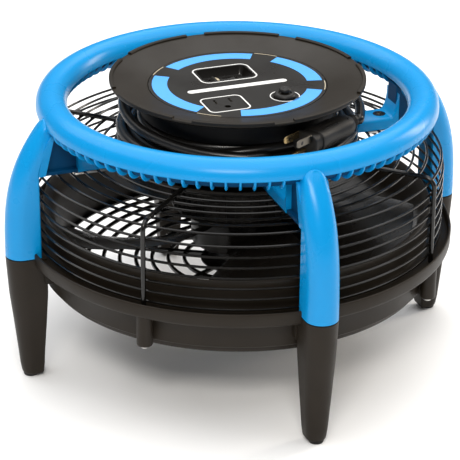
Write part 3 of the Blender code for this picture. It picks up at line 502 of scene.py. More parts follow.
def loose_turn():
    """The cord's loose last turn, from the plug's tail round the drum and down on to the wound cord."""
    leaving = [PLUG @ Vector((PLUG_TAIL + along, 0, 0)) for along in (GAP, 0.5 * CORD_D, CORD_D)]
    rest = COIL_LOW + CORD_D / 2 + GAP
    lay = PLUG_R - 0.003
    turns = [(-20, lay + 0.006, PLUG_Z + 0.001), (5, lay + 0.0015, PLUG_Z + 0.002),
             (35, lay, PLUG_Z + 0.002), (65, lay - 0.001, PLUG_Z + 0.002),
             (100, lay - 0.001, PLUG_Z + 0.002), (135, lay, PLUG_Z + 0.002),
             (165, lay + 0.001, PLUG_Z + 0.001), (195, lay + 0.001, PLUG_Z - 0.003),
             (225, lay, rest + 0.002), (250, lay, rest), (JOIN_AZIMUTH, lay, rest)]
    return leaving + [around(*place) for place in turns]


def winding():
    """The wound turns, lane by lane, from the gland to where the loose turn leaves them."""
    layers = [CORE_R + GAP + (i + 0.5) * CORD_D for i in range(COIL_LAYERS)]
    rows = [COIL_BOTTOM + (i + 0.5) * CORD_D for i in range(COIL_ROWS)]
    lanes = [(0, 0), (0, 1), (0, 2), (1, 2), (1, 1), (1, 0), (2, 0), (3, 0), (3, 1), (2, 1)]
    per_turn = 36
    crossing = 0.2  # the last share of each turn, spent on moving over to the next lane
    sweep = GLAND_AZIMUTH + 360 * len(lanes) - JOIN_AZIMUTH
    points = []
    for i in range(round(per_turn * sweep / 360)):
        turn = i / per_turn
        lane = int(turn)
        step = max(0.0, (turn - lane - 1 + crossing) / crossing)
        step = step * step * (3 - 2 * step)
        (layer, row), (next_layer, next_row) = lanes[lane], lanes[min(lane + 1, len(lanes) - 1)]
        radius = layers[layer] + (layers[next_layer] - layers[layer]) * step
        z = rows[row] + (rows[next_row] - rows[row]) * step
        wobble = 0.0004 * math.sin(2.3 * turn * math.tau / 1.7 + lane)
        points.append(around(GLAND_AZIMUTH - 360 * turn, radius + wobble, z))
    return points


def cord_path():
    """From the gland through the wound turns and the loose one to the plug's tail."""
    start = around(GLAND_AZIMUTH, CORE_R, GLAND_Z)
    loose = reversed(through(loose_turn(), 4))
    return [start, *winding()[1:], *loose]


def cord():
    """One curve along the whole path, and the path itself."""
    points = cord_path()
    curve = bpy.data.curves.new("mains_cord", "CURVE")
    curve.dimensions = "3D"
    curve.bevel_depth = CORD_D / 2
    curve.bevel_resolution = 4
    curve.use_fill_caps = True
    spline = curve.splines.new("POLY")
    spline.points.add(len(points) - 1)
    for knot, point in zip(spline.points, points):
        knot.co = (*point, 1)
    spline.use_smooth = True
    curve.materials.append(CORD)
    made = placed("mains_cord", curve)
    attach(made, "frame")
    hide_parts("cord_coil", "cord_tail")
    return made, points


def strain_relief(points):
    """The gland's tapered sleeve over the first of the wound cord."""
    sleeve = Shape()
    path = points[:5]
    sleeve.tube(path, [CORD_D / 2 + 0.0014 - 0.00028 * i for i in range(len(path))], 16)
    return sleeve.piece("strain_relief", [RUBBER], "black_rubber")


def plug_section(x, wide, tall, corner):
    return [(x, y, z) for y, z in rounded_rectangle((wide, tall), corner)]


def plug_body():
    """A flanged face, a waisted grip with rows of ridges, and a round end with three collars."""
    body = Shape()
    flange = [(0, 0.0225, 0.0165, 0.005), (0.0006, 0.0238, 0.0178, 0.0058), (0.003, 0.0238, 0.0178, 0.0058),
              (0.0036, 0.0226, 0.0166, 0.0054), (0.0042, 0.02, 0.0146, 0.0052),
              (0.01, 0.0206, 0.015, 0.0062), (0.0106, 0.0228, 0.017, 0.007), (0.0128, 0.0232, 0.0174, 0.0076)]
    levels = [(PLUG_FACE + x, *rest) for x, *rest in flange]
    levels += [(-0.011, 0.0212, 0.0164, 0.0076), (0.004, 0.0206, 0.016, 0.0076),
               (0.015, 0.0212, 0.0166, 0.0078), (0.02, 0.0202, 0.016, 0.0074),
               (0.0232, 0.017, 0.014, 0.0066), (0.0248, 0.0126, 0.012, 0.0056),
               (0.0262, 0.0112, 0.0112, 0.0055), (PLUG_TAIL, 0.0096, 0.0096, 0.0047)]
    body.skin([plug_section(*level) for level in levels], at=PLUG)
    for row in (-1, 0, 1):
        for i in range(9):
            for side in (1, -1):
                centre = (0.0022 * i - 0.0135, 0.0042 * row, 0.008 * side - 0.0001)
                body.box(centre, (0.0012, 0.0032, 0.0014), at=PLUG)
    for i in range(3):
        x = 0.0258 + 0.0017 * i
        neck = 0.0112 - 0.0003 * i
        collar = neck + 0.0012
        steps = ((x, neck), (x + 0.0002, collar), (x + 0.0008, collar), (x + 0.001, neck))
        body.skin([plug_section(along, size, size, size / 2 - 0.0001) for along, size in steps], at=PLUG)
    for y in (-0.0055, 0.005):
        dot = circle(0.0009, 10, (0.017, y))
        body.skin([[(x, v, z) for x, v in dot] for z in (0.007, 0.0083)], place=1, at=PLUG)
    return body.piece("plug", [RUBBER, GLOSS_BLACK], "black_rubber", nodes=["plug_body"], bevel=0.0002)


def prong_section(x, offset, wide, tall):
    """An upright rectangle with cut corners."""
    across, up = wide / 2, tall / 2
    cut = 0.25 * wide
    outline = ((cut - across, -up), (across - cut, -up), (across, cut - up), (across, up - cut),
               (across - cut, up), (cut - across, up), (-across, up - cut), (-across, cut - up))
    return [(x, offset + y, BLADE_RISE + z) for y, z in outline]


def prongs():
    """Two flat blades with a hole near their tips and a round pin that ends in a cone."""
    made = []
    for number, side, metal in ((1, -1, NICKEL), (2, 1, BRASS)):
        blade = Shape()
        y = side * BLADE_APART / 2
        steps = ((0, 0.0015, 0.0063), (0.015, 0.0015, 0.0063), (0.0166, 0.0012, 0.0054),
                 (0.0175, 0.0007, 0.0038))
        blade.skin([prong_section(PRONG_ROOT - out, y, *size) for out, *size in steps], at=PLUG)
        hole = circle(0.0015, 16, (PRONG_ROOT - 0.0118, BLADE_RISE))
        for face in (-1, 1):
            rims = [[(x, y + face * proud, z) for x, z in hole] for proud in (0.0006, 0.00078)]
            blade.skin(rims, place=1, at=PLUG)
        made.append(blade.piece(f"plug_prong_{number}", [metal, GLOSS_BLACK], "brass",
                                nodes=[f"plug_blade_{number}"]))
    pin = Shape()
    steps = ((0, 0.0024), (0.0178, 0.0024), (0.0195, 0.0021), (0.0206, 0.0016), (0.021, 0.001))
    pin.skin([[(PRONG_ROOT - out, y, z) for y, z in circle(radius, 20, (0, BLADE_RISE - PIN_DROP))]
              for out, radius in steps], at=PLUG)
    made.append(pin.piece("plug_pin", [BRASS], "brass", nodes=["plug_ground_pin"]))
    return made


def cord_and_plug():
    line, points = cord()
    relief = strain_relief(points)
    on_it = [plug_body(), *prongs(), relief]


# ---- handle ring and legs

def handle_ring():
    """Smooth above; below, a recessed core that ribs fill out to the full round section, the core painted a
    darker blue as painted shade.
    """
    core = 0.76 * RING_TUBE
    shell = arc_points((RING_MID, RING_Z), RING_TUBE, 0, 180, 28)
    shell += [(RING_MID - RING_TUBE, RING_Z - 0.0012), (RING_MID - 0.93 * RING_TUBE, RING_Z - 0.0021)]
    shell += [(RING_MID + 0.93 * RING_TUBE, RING_Z - 0.0021), (RING_MID + RING_TUBE, RING_Z - 0.0012)]
    ring = Shape()
    ring.ring(shell, 240)
    # the core takes the second surface: a darker blue, painted shade between the ribs
    ring.ring(arc_points((RING_MID, RING_Z), core, 170, 370, 24), 240, 1)
    ring.piece("handle_ring_skin", [BLUE, BLUE_PAINTED_SHADE], "blue_plastic", nodes=["handle_ring"], sharp=30)
    ribs = Shape()
    for leg in LEGS.values():
        for i in range(RIBS_PER_QUARTER):
            spread = RIBS_SPREAD * (i / (RIBS_PER_QUARTER - 1) - 0.5)
            ribs.include(handle_rib().turned(leg + 45 + spread))
    ribs.piece("handle_ring_ribs", [BLUE], "blue_plastic", sharp=50)


def handle_rib():
    """A thin upright half disc, its rim rounded over."""
    rib = Shape()
    reach = RING_TUBE - 0.0002
    half = 0.001
    loops = []
    for y, inset in ((-half, 0.0008), (-0.6 * half, 0.0002), (0, 0), (0.6 * half, 0.0002), (half, 0.0008)):
        outline = arc_points((RING_MID, RING_Z), reach - inset, 178, 362, 22)
        loops.append([(r, y, z) for r, z in outline])
    rib.skin(loops)
    return rib


def ring_outside(z):
    """Radius of the ring's outer side at a height."""
    return RING_MID + math.sqrt(max(0.0, RING_TUBE ** 2 - (z - RING_Z) ** 2))


def leg_outside(z):
    """Radius of the blue leg's outer side, which closes in on the ring and ends just proud of it."""
    share = (z - SPLIT_Z) / (LEG_TOP - SPLIT_Z)
    outside = RING_R + (LEG_OUT - RING_R) * (1 - share ** 3)
    return max(outside, ring_outside(z) + 0.0017)


def leg_width(z):
    """Full width at the split, less towards the ring, and a round arch at the very top."""
    drop = LEG_TOP - z
    if drop < LEG_ARCH:
        return 2 * math.sqrt(max(1e-7, drop * (2 * LEG_ARCH - drop)))
    return straight([(LEG_ARCH, 2 * LEG_ARCH), (0.0155, 0.0222), (0.024, 0.0248), (0.04, 0.0266),
                     (LEG_TOP - SPLIT_Z, LEG_WIDTH)], drop)


def leg_section(width, near, far, z, bulge=None, steps=20):
    """An outside that bulges, round unless told how far, straight sides and a flat inside."""
    half = width / 2
    bulge = half if bulge is None else bulge
    angles = [math.radians(-90 + 180 * i / steps) for i in range(steps + 1)]
    points = [(far - bulge + bulge * math.cos(a), half * math.sin(a), z) for a in angles]
    soft = min(0.001, half / 2)
    return [*points, (near + soft, half, z), (near, half - soft, z), (near, soft - half, z),
            (near + soft, -half, z)]


def upper_leg(side, turn):
    """The bar that rises and closes in on the ring, its web and its arm."""
    leg = Shape()
    start = SPLIT_Z + 0.0006
    heights = [start + (LEG_TOP - LEG_ARCH - start) * i / 26 for i in range(26)]
    heights += [LEG_TOP - LEG_ARCH * (1 - math.sin(math.pi / 2 * i / 12)) for i in range(12)]
    heights.append(LEG_TOP - 0.00002)
    loops = []
    for z in heights:
        width, far = leg_width(z), leg_outside(z)
        near = LEG_INNER if z < ARM_BOTTOM + 0.006 else min(LEG_INNER, far - width / 2 - 0.004)
        bulge = min(width / 2, 0.0022 + 0.42 * (LEG_TOP - z))
        loops.append(leg_section(width, near, far, z, bulge))
    leg.skin(loops)
    leg.include(leg_web())
    leg.include(arm())
    # the second surface is the darker blue of the painted shade on the ring's core and the web's pocket
    # blocks
    leg.turned(turn).piece(f"blue_leg_{side}", [BLUE, BLUE_PAINTED_SHADE], "blue_plastic",
                           nodes=[f"upper_leg_{side}"], sharp=42, bevel=0.0007)


def leg_web():
    """The upright flange behind the bar's top, and in front of it two dark blue blocks that are painted shade
    in the pockets.
    """
    web = Shape()
    wide = ARM_WIDTH + 0.001
    bottom, top = ARM_BOTTOM + 0.0002, RING_Z - 0.004
    outline = ((0.1675, bottom), (LEG_INNER + 0.0015, bottom), (LEG_INNER + 0.0015, bottom + 0.01),
               (RING_MID + 0.011, top - 0.003), (RING_MID + 0.0065, top))
    web.skin([[(r, side * wide / 2, z) for r, z in outline] for side in (-1, 1)])
    # these blocks take the second surface, a darker blue: painted shade in the pockets
    web.box((0.15425, 0, (bottom + top) / 2), (0.0295, 0.016, top - bottom), 1)
    web.box((0.156, 0, bottom + 0.0014), (0.036, ARM_WIDTH - 0.0006, 0.0028), 1)
    return web


def arm_section(r, width, bottom, top, corner):
    """An upright section across the arm at radius r, its upper edges rounded."""
    half = width / 2
    right = arc_points((half - corner, top - corner), corner, 0, 90, 5)
    left = arc_points((corner - half, top - corner), corner, 90, 180, 5)
    return [(r, y, z) for y, z in ((half, bottom), *right, *left, (-half, bottom))]


def arm():
    """From under the reel out over the guard, then up a concave flare to the ring's inner side."""
    shape = Shape()
    inner = RING_MID - RING_TUBE
    foot, head = ARM_SCREW_R + 0.005, inner + 0.0012
    rise = RING_Z - 0.0095 - ARM_TOP
    loops = []
    for out, top in ((-0.036, ARM_SEAT), (0.0032, ARM_SEAT), (0.0046, ARM_TOP - 0.001), (0.0062, ARM_TOP)):
        loops.append(arm_section(REEL_FLANGE_R + out, ARM_WIDTH, ARM_BOTTOM, top, 0.0026))
    for i in range(13):
        t = i / 12
        r = foot + (head - foot) * math.sin(t * math.pi / 2)
        top = ARM_TOP + rise * (1 - math.cos(t * math.pi / 2))
        loops.append(arm_section(r, ARM_WIDTH + 0.0016 * t * t, ARM_BOTTOM, top, 0.0026 - 0.0012 * t))
    shape.skin(loops)
    return shape


def painted_shade_and_glint_cross(head, centre, span, depth, turn=0):
    """A cross on a screw's head in the head's second surface: painted shade of the recess where that is
    black, a painted glint where it is brass.
    """
    for quarter in (0, 90):
        head.box(centre, (span, 0.0007, depth), 1, spin(turn + quarter, centre))


def arm_screw(side, turn):
    """A black disc flush with the arm, painted shade of the countersink round the arm's screw, and the screw
    with a brass cross as a painted glint.
    """
    spot = around(turn, ARM_SCREW_R, 0)
    # a flat black disc on the arm top: painted shade of the countersink, not a real recess
    cup = Shape()
    top = ARM_TOP + 0.00012
    cup.solid(shifted([(0, -0.001), (0.0052, -0.001), (0.0054, 0), (0.005, 0.0001), (0.0042, 0.00002),
                       (0, 0.00002)], 0, top), 32, 0, spot[:2])
    cup.piece(f"arm_painted_shade_disc_{side}", [GLOSS_BLACK], "black_plastic")
    head = Shape()
    bottom = top - 0.0012
    dome = arc_points((0, bottom - 0.002), 0.004, 32, 88, 8)
    head.solid([(0, bottom), (0.0034, bottom), *dome, (0, bottom + 0.002)], 28, 0, spot[:2])
    # the cross is brass on the dark head: a painted glint in the recess
    painted_shade_and_glint_cross(head, (*spot[:2], bottom + 0.0016), 0.0034, 0.0009, turn + 20)
    head.piece(f"arm_screw_head_{side}", [DARK_STEEL, BRASS], "steel", nodes=[f"arm_screw_{side}"])


def lower_leg(side, turn):
    """The black leg, tapering to a blunt foot on a rubber pad."""
    leg = Shape()
    inner = WALL_R + 0.0035
    foot_near, foot_far = FOOT_MID - FOOT_WIDTH / 2, FOOT_MID + FOOT_WIDTH / 2
    widths = [(0, FOOT_WIDTH), (0.22, LEG_WIDTH - 0.007), (0.48, LEG_WIDTH - 0.004),
              (0.7, LEG_WIDTH - 0.0015), (1, LEG_WIDTH)]
    nears = [(0, foot_near), (0.22, inner + 0.0035), (0.48, inner + 0.0015), (0.7, inner), (1, inner)]
    fars = [(0, foot_far), (0.22, LEG_OUT - 0.0078), (0.48, LEG_OUT - 0.0048), (0.7, LEG_OUT - 0.002),
            (1, LEG_OUT)]
    loops = [leg_section(FOOT_WIDTH - 1.2 * inset, foot_near + 0.6 * inset, foot_far - inset,
                         PAD_TOP + GAP + rise)
             for rise, inset in ((0, 0.0018), (0.0005, 0.001), (0.0014, 0.0004), (0.003, 0))]
    for i in range(1, 21):
        share = 0.06 + 0.94 * i / 20
        width, near, far = (straight(places, share) for places in (widths, nears, fars))
        loops.append(leg_section(width, near, far, share * (SPLIT_Z - GAP)))
    leg.skin(loops)
    leg.box((inner - 0.001, 0, TROUGH_Z - 0.012), (0.008, LEG_WIDTH + 0.003, 0.018))
    leg.turned(turn).piece(f"black_leg_{side}", [BLACK], "black_plastic", nodes=[f"lower_leg_{side}"],
                           sharp=42, bevel=0.0006)
    pad = Shape()
    radius = 0.36 * FOOT_WIDTH
    pad.solid([(0, 0), (radius - 0.0008, 0), (radius - 0.0002, 0.0003), (radius, 0.0009),
               (radius, PAD_TOP), (0, PAD_TOP)], 32, 0, around(turn, PAD_R, 0)[:2])
    pad.piece(f"rubber_foot_{side}", [RUBBER], "black_rubber", nodes=[f"foot_pad_{side}"])


# ---- guard, shroud and outlet guard

def hoop_path(radius, z, segments=120):
    return [(x, y, z) for x, y in circle(radius, segments)]


def hoop_places():
    """Radius and height of every hoop, from the foot of the guard up and then inwards."""
    foot = FLANGE_TOP - 0.0004
    shoulder = GUARD_TOP - 0.0115
    places = [(GUARD_R, foot + (shoulder - foot) * i / (SIDE_HOOPS - 1)) for i in range(SIDE_HOOPS)]
    places.append((GUARD_R - 0.0015, GUARD_TOP - 0.0015))
    radius = GUARD_R - 0.0025 - HOOP_PITCH
    while radius > REEL_FLANGE_R + 0.001:
        places.append((radius, GUARD_TOP))
        radius -= HOOP_PITCH
    return places


def guard():
    """Thin hoops welded inside four thick wires that bend in over the top."""
    cage = Shape()
    hoops = hoop_places()
    for radius, z in hoops:
        cage.tube(hoop_path(radius, z), HOOP_WIRE, 8, True)
    post_r = GUARD_R + HOOP_WIRE + 0.8 * POST_WIRE
    post_top = GUARD_TOP + HOOP_WIRE + 0.8 * POST_WIRE
    bend = 0.0085
    for turn in DIAGONALS:
        route = [(post_r, z) for z in (TROUGH_Z + 0.0009, (TROUGH_Z + post_top) / 2, post_top - bend)]
        route += arc_points((post_r - bend, post_top - bend), bend, 12, 90, 7)
        route.append((REEL_FLANGE_R - 0.0012, post_top))
        cage.tube([around(turn, r, z) for r, z in route], POST_WIRE * 0.98, 14)
        for radius, z in hoops:
            weld_z = min(z + HOOP_WIRE * 0.6, post_top)
            weld = [around(turn + d, radius + HOOP_WIRE * 0.5, weld_z) for d in (-1.1, -0.4, 0.4, 1.1)]
            cage.tube(weld, [0.0004, 0.0013, 0.0013, 0.0004], 8)
    cage.piece("guard_cage", [WIRE], "black_wire", nodes=["wire_guard"])


def shroud_profile():
    """Round the foot of the wall, its flange and trough, the bell mouth's lip and down the throat."""
    foot = [(-0.006, 0), (-0.0052, 0.0008), (-0.0044, 0.0056), (-0.001, 0.0062), (-0.0002, 0.007)]
    under = [(0.0004, -0.009), (0.0016, -0.0068), (0.004, -0.006)]
    rim_under = [(-0.0018, -0.0046), (-0.0006, -0.0036), (-0.0002, -0.002)]
    rim = [(0, -0.0014), (-0.0004, -0.0004), (-0.0012, 0), (-0.002, -0.0004), (-0.0024, -0.0014)]
    trough = [(0, 0), (-0.0046, 0.0006), (-0.0056, 0.002)]
    lip = [(-0.006, 0.011), (-0.0032, 0.0176), (-0.0034, 0.0192), (-0.0046, 0.0198), (-0.0072, 0.0186)]
    return [*shifted([(0.005, 0.0004), (0.0056, 0)], THROAT_R, SHROUD_BOTTOM),
            *shifted(foot, WALL_R, SHROUD_BOTTOM), *shifted(under, WALL_R, TROUGH_Z),
            *shifted(rim_under, FLANGE_R, TROUGH_Z), *shifted(rim, FLANGE_R, FLANGE_TOP),
            *shifted([(-0.003, 0.0012), (-0.0042, 0.0004)], FLANGE_R, TROUGH_Z),
            *shifted(trough, WALL_R, TROUGH_Z), *shifted(lip, WALL_R, FLANGE_TOP),
            *shifted([(0.003, 0.0144), (0.001, 0.0096), (0, 0.004)], THROAT_R, FLANGE_TOP),
            (THROAT_R, TROUGH_Z - 0.012)]


def shroud():
    """The turned body, and between the legs round bosses that screws go up into."""
    body = Shape()
    body.ring(shroud_profile(), 200)
    for turn in DIAGONALS:
        spot = around(turn, BOSS_R, 0)
        edge = arc_points((0.0052, BOSS_BOTTOM + 0.0012), 0.0012, -70, 0, 4)
        body.solid([(0, BOSS_BOTTOM), (0.003, BOSS_BOTTOM), (0.0052, BOSS_BOTTOM), *edge,
                    (0.0066, TROUGH_Z - 0.002), (0, TROUGH_Z - 0.002)], 32, 0, spot[:2])
        fin = (BOSS_R - 0.005, 0, (BOSS_BOTTOM + TROUGH_Z) / 2)
        body.box(fin, (0.009, 0.003, 0.027), 0, spin(turn))
    body.piece("shroud_body", [BLACK], "black_plastic", nodes=["shroud"], sharp=40)
    for number, turn in enumerate(DIAGONALS, 1):
        guard_screw(number, around(turn, BOSS_R, 0))


def guard_screw(number, spot):
    """A pan head that faces down."""
    head = Shape()
    top = BOSS_BOTTOM - GAP
    head.solid(shifted([(0, 0), (0.0034, 0), (0.0035, -0.0004), (0.0034, -0.0012), (0.0029, -0.002),
                        (0.002, -0.0024), (0, -0.0024)], 0, top), 28, 0, spot[:2])
    # the cross is black on the steel head: painted shade of the recess
    painted_shade_and_glint_cross(head, (*spot[:2], top - 0.0024), 0.0032, 0.0006)
    head.piece(f"guard_screw_head_{number}", [STEEL, GLOSS_BLACK], "steel", nodes=[f"guard_screw_{number}"])


def outlet_guard():
    """A disc, hoops and spokes across the bottom of the shroud."""
    wire, pitch, disc_r = 0.0019, 0.0137, 0.03
    z = SHROUD_BOTTOM + 0.005
    grille = Shape()
    radius = THROAT_R + wire
    while radius > disc_r + 0.0082:
        grille.tube(hoop_path(radius, z, 90), wire, 8, True)
        radius -= pitch
    grille.solid([(0, z - 0.001), (disc_r - 0.0006, z - 0.001), (disc_r, z - 0.0004), (disc_r, z + 0.0004),
                  (disc_r - 0.0006, z + 0.001), (0, z + 0.001)], 64)
    for i in range(6):
        turn = 360 * (i + 0.5) / 6
        spoke = [around(turn, 0.024 + (THROAT_R - 0.0222) * k / 6, z + 0.001) for k in range(7)]
        grille.tube(spoke, 0.0021, 8)
    grille.piece("outlet_grille", [WIRE], "black_wire", nodes=["outlet_guard"])


def clamps():
    """A plate under each arm with a square nut on its underside."""
    for side, turn in LEGS.items():
        plate = Shape()
        top = high(f"guard_clamp_{side}").z
        plate.slab(rounded_rectangle((0.028, 0.014), 0.003, (ARM_SCREW_R, 0)), top - 0.002, top)
        nut = (ARM_SCREW_R, 0, top - 0.0026)
        plate.box(nut, (0.0075, 0.0075, 0.0016), 0, spin(22, nut))
        plate.turned(turn).piece(f"guard_clamp_plate_{side}", [STEEL], "steel",
                                 nodes=[f"guard_clamp_{side}"], bevel=0.0003)


# ---- motor and fan

def motor():
    """A finned housing, open below, under the hub plate."""
    shell = Shape()
    mouth = MOTOR_BOTTOM + 0.0034
    bore = MOTOR_R - 0.0032
    roof = MOTOR_TOP - 0.0041
    shoulder = arc_points((MOTOR_R - 0.0065, MOTOR_TOP - 0.005), 0.005, 80, 0, 6)
    shell.solid([(0, MOTOR_TOP), (MOTOR_R - 0.0065, MOTOR_TOP), *shoulder, (MOTOR_R - 0.0015, mouth),
                 (bore, mouth), (bore, roof), (0, roof)], 96)
    fins = 48
    centre = (MOTOR_R - 0.0012, 0, (mouth + MOTOR_TOP - 0.0075) / 2)
    for i in range(fins):
        shell.box(centre, (0.0024, 0.0016, MOTOR_TOP - 0.008 - mouth), 0, spin(360 * i / fins))
    shell.piece("motor_shell", [CASTING], "motor_casting", nodes=["motor_housing"], bevel=0.0003)
    plate = Shape()
    bottom, top, reach, edge = low("hub_plate").z, high("hub_plate").z, high("hub_plate").x, 0.0004
    plate.ring([(0.01, bottom), (reach - edge, bottom), (reach, bottom + edge), (reach, top - edge),
                (reach - edge, top), (0.01, top)], 96)
    plate.piece("hub_plate_skin", [BLACK], "steel", nodes=["hub_plate"])


def blade_section(share, steps=9):
    """A cambered section at this share of the way from root to tip."""
    root = FAN_HUB_R - 0.002
    radius = root + (FAN_R - root) * share
    half_angle = math.radians(30 - 6 * share)
    half_height = (BLADE_HIGH - BLADE_LOW) * (0.4 + 0.09 * share)
    back = math.radians(-22) * share ** 1.5
    thick = 0.0015 - 0.0005 * share
    upper, under = [], []
    for i in range(steps):
        along = -1 + 2 * i / (steps - 1)
        bow = max(0.0, 1 - along * along)
        azimuth = math.degrees(back + along * half_angle)
        z = (BLADE_LOW + BLADE_HIGH) / 2 + along * half_height + 0.0035 * bow
        swell = thick * math.sqrt(bow) + 0.00015
        upper.append(around(azimuth, radius, z + swell))
        under.append(around(azimuth, radius, z - swell))
    return upper + under[::-1]


def fan():
    """A hub cup with blades that sweep back to rounded tips."""
    rotor = Shape()
    bore, sleeve, inner = 0.006, 0.016, FAN_HUB_R - 0.0035
    skirt = SPLIT_Z - 0.013
    bottom = skirt + 0.006
    crown = arc_points((FAN_HUB_R - 0.004, FAN_TOP - 0.004), 0.004, 0, 90, 6)
    rotor.ring([(bore, bottom), (sleeve, bottom), (sleeve, FAN_TOP - 0.011), (inner, FAN_TOP - 0.008),
                (inner, skirt), (FAN_HUB_R - 0.0004, skirt), (FAN_HUB_R, skirt + 0.0004), *crown,
                (bore, FAN_TOP)], 72)
    blade = Shape()
    shares = (0, 0.12, 0.25, 0.38, 0.5, 0.62, 0.74, 0.85, 0.93, 0.98, 1)
    blade.skin([blade_section(share) for share in shares])
    for i in range(FAN_BLADES):
        rotor.include(blade.turned(FAN_PHASE + 360 * i / FAN_BLADES))
    rotor.piece("fan_blades", [FAN], "fan_plastic", "fan", ["fan_rotor"], sharp=50)


# ---- reel

def reel_drum():
    """Core, collar, and the flange under the wound cord."""
    drum = Shape()
    collar_bottom, collar_top = COIL_HIGH + 0.0006, DISH_SEAT - GAP
    inner = COLLAR_R - 0.003
    bore, core_bore = 0.012, CORE_R - 0.0025
    floor, flange_top, edge = ARM_SEAT + GAP, COIL_BOTTOM - 0.0002, 0.0005
    drum.ring([(bore, floor), (REEL_FLANGE_R - edge, floor), (REEL_FLANGE_R, floor + edge),
               (REEL_FLANGE_R, flange_top - edge), (REEL_FLANGE_R - edge, flange_top),
               (CORE_R, flange_top), (CORE_R, collar_bottom), (COLLAR_R - 0.0006, collar_bottom),
               (COLLAR_R, collar_bottom + 0.0006), (COLLAR_R, collar_top), (inner, collar_top),
               (inner, collar_bottom + 0.0025), (core_bore, collar_bottom + 0.0025),
               (core_bore, floor + 0.002), (bore, floor + 0.002)], ROUND)
    drum.piece("reel_drum_skin", [DRUM], "black_plastic", nodes=["reel_drum"], sharp=40)


def reel_dish():
    """The top flange: a sloping rim with eight raised lips, and a seat for the label."""
    bore, seat = LABEL_R - 0.011, LABEL_TOP - 0.0023
    rim = [(-0.004, -0.0052), (-0.0012, -0.0042), (-0.0002, -0.0032), (0, -0.002), (-0.0004, -0.0016),
           (-0.003, -0.0016), (-0.0044, -0.0018)]
    recess = [(0.0014, 0.0004), (0.0006, 0.0001), (GAP, -0.0003), (GAP, -0.0023)]
    dish = Shape()
    dish.ring([(bore, DISH_SEAT), (COLLAR_R, DISH_SEAT), (COLLAR_R + 0.001, DISH_SEAT + 0.003),
               *shifted(rim, DISH_R, DISH_RIM), *shifted(recess, LABEL_R, LABEL_TOP), (bore, seat)], 200)
    lips, gap = 8, math.degrees(0.08)
    lip = shifted([(-0.0034, -0.0022), (0, -0.0022), (0, -0.0004), (-0.0004, 0), (-0.0028, 0),
                   (-0.0034, -0.0005)], DISH_R, DISH_RIM)
    for i in range(lips):
        dish.arc(lip, 360 * i / lips + gap, 360 * (i + 1) / lips - gap, 20)
    dish.piece("reel_dish_skin", [DISH_BLACK], "black_plastic", nodes=["reel_dish"], sharp=32)


def label():
    """The label's surface, its generic print and the contacts seen in the outlet's slots."""
    paint("label_plate", LABEL)
    ink = Shape()
    bottom, top = LABEL_TOP - 0.0001, LABEL_TOP + 0.00014
    band, line = ([(inner, bottom), (outer, bottom), (outer, top), (inner, top)]
                  for inner, outer in ((0.0575, 0.07), (0.0714, 0.072)))
    for start, end in ((59, 128), (146, 222), (252, 329), (347, 401)):
        ink.arc(band, start, end, 40, 0)
        ink.arc(line, end + 1, end + 17, 12, 2)
    for size, corner, centre in ((SWITCH_SIZE, 0.0065, SWITCH_AT), (OUTLET_SIZE, 0.0048, OUTLET_AT)):
        outer = rounded_rectangle([side + 0.0036 for side in size], corner + 0.0012, centre, 8)
        inner = rounded_rectangle([side + 0.0012 for side in size], corner, centre, 8)
        stroke(ink, outer, inner, bottom, top, 1)
    stroke(ink, circle(0.0122, 60, BREAKER_AT), circle(0.0114, 60, BREAKER_AT), bottom, top, 1)
    ink.slab(rounded_rectangle((0.086, 0.0064), 0.0031, (-0.002, -0.0055)), bottom, top, 1)
    contacts = Shape()
    for side in (-1, 1):
        for apart in (-0.0008, 0.0008):
            x = OUTLET_AT[0] + side * BLADE_APART / 2 + apart
            contacts.box((x, OUTLET_AT[1] + 0.006, LABEL_TOP - 0.0009), (0.0003, 0.007, 0.0012))
    contacts.piece("outlet_contacts", [NICKEL], "brass")
    ink.piece("label_print", [LABEL_BLUE, LABEL_WHITE, LABEL_CREAM], "label_face", sharp=60)


def switch():
    """A sunk tray with sloping sides, a lipped mouth and a raised edge round the rocker's hole."""
    wide, deep = (side - 2 * GAP for side in SWITCH_SIZE)
    hole_wide, hole_deep = 0.0246, 0.0136
    floor = LABEL_TOP - 0.0075
    mouth = [(0, 0.0057, LABEL_TOP), (0, 0.0057, LABEL_TOP + 0.0003), (0.001, 0.0052, LABEL_TOP + 0.0006),
             (0.0024, 0.0046, LABEL_TOP + 0.0002), (0.0054, 0.0036, floor + 0.0008), (0.0066, 0.0032, floor)]
    hole = [(0.004, 0.0012, floor), (0.0036, 0.0012, floor + 0.0006), (0.0006, 0.001, floor + 0.0006),
            (0, 0.0008, floor), (0, 0.0008, floor - 0.0017)]
    levels = [(wide - less, deep - less, corner, z) for less, corner, z in mouth]
    levels += [(hole_wide + more, hole_deep + more, corner, z) for more, corner, z in hole]
    levels.append((wide, deep, 0.0057, floor - 0.0017))
    tray = Shape()
    tray.skin([[(x, y, z) for x, y in rounded_rectangle((w, d), corner, SWITCH_AT, 8)]
               for w, d, corner, z in levels], True)
    tray.piece("switch_tray_skin", [GLOSS_BLACK], "black_plastic", nodes=["switch_tray"], sharp=40)
    paint("switch_housing", BLACK)


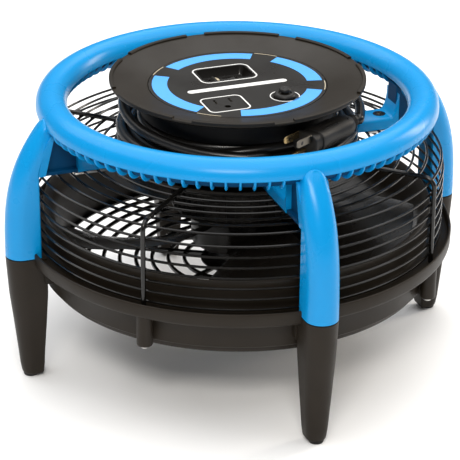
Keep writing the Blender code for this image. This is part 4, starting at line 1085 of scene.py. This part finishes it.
def rocker():
    """Two soft wings with a valley between them, tilted about the pivot under the valley."""
    pivot = Matrix.Translation((*SWITCH_AT, LABEL_TOP - 0.011)) @ Matrix.Rotation(math.radians(8), 4, "Y")
    half, rise, dip = 0.0106, 0.0062, 0.0022

    def valley(x):
        return rise - dip + dip * (x / (half - 0.001)) ** 2

    outline = [(-half, -0.004), (0, -0.0075), (half, -0.004), (half, rise - 0.001),
               (half - 0.0003, rise - 0.0004), (half - 0.001, rise)]
    outline += [(half * k / 6, valley(half * k / 6)) for k in (5, 3.5, 2, 1, 0, -1, -2, -3.5, -5)]
    outline += [(0.001 - half, rise), (0.0003 - half, rise - 0.0004), (-half, rise - 0.001)]
    cap = Shape()
    cap.skin([[(x, y, z - inset if z > 0 else z) for x, z in outline]
              for y, inset in ((-0.0064, 0.0005), (-0.006, 0), (0.006, 0), (0.0064, 0.0005))], at=pivot)
    for x in (-0.0075, -0.0064, -0.0053):
        cap.box((x, 0, valley(x)), (0.0006, 0.0084, 0.0008), 1, pivot)
    cap.piece("rocker_cap", [RUBBER, LABEL_CREAM], "black_rubber", "rocker", ["switch_rocker"], sharp=40)


def breaker():
    """A milled ring nut, and the button with a dished top that moves in it."""
    foot = LABEL_TOP + GAP
    nut = Shape()
    nut.ring(shifted([(0.0055, 0), (0.0086, 0), (0.0092, 0.0004), (0.0091, 0.0012), (0.008, 0.0026),
                      (0.0074, 0.0029), (0.0055, 0.0029)], 0, foot), 48, 0, BREAKER_AT)
    for i in range(24):
        tooth = (BREAKER_AT[0] + 0.0088, BREAKER_AT[1], foot + 0.0007)
        nut.box(tooth, (0.001, 0.0007, 0.001), 0, spin(15 * i, BREAKER_AT))
    nut.piece("breaker_nut_skin", [RUBBER], "black_plastic", nodes=["breaker_nut"], sharp=40)
    paint("breaker_body", BLACK)
    stem = low("breaker_button").z
    cap = shifted([(0.0031, -0.0026), (0.0046, -0.0026), (0.0049, -0.0023), (0.0048, -0.0011),
                   (0.0044, -0.0004), (0.0038, 0), (0.0024, 0), (0.0019, -0.0003), (0.0012, -0.0009),
                   (0, -0.0011)], 0, high("breaker_button").z)
    button = Shape()
    button.solid([(0, stem), (0.0031, stem), *cap], 40, 0, BREAKER_AT)
    button.piece("breaker_cap", [RUBBER], "black_rubber", "button", ["breaker_button"], sharp=45)


def paint(name, surface):
    """A CAD node that keeps its shape gets this surface."""
    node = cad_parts[name]
    node.data.materials.clear()
    node.data.materials.append(surface)


def inner_parts():
    """The parts that stay as built, inside the motor, the reel and the label."""
    finishes = {"motor_stator": WINDINGS, "motor_rotor": STEEL, "motor_end_bell": CASTING,
                "bearing_lower": STEEL, "bearing_upper": STEEL, "fan_nut": STEEL, "outlet": LABEL,
                "capacitor": GLOSS_BLACK, "cord_gland": RUBBER}
    for name, surface in finishes.items():
        paint(name, surface)


camera()
cord_and_plug()
studio()
handle_ring()
for side, turn in LEGS.items():
    upper_leg(side, turn)
    arm_screw(side, turn)
    lower_leg(side, turn)
guard()
shroud()
outlet_guard()
clamps()
motor()
fan()
reel_drum()
reel_dish()
label()
switch()
rocker()
breaker()
inner_parts()
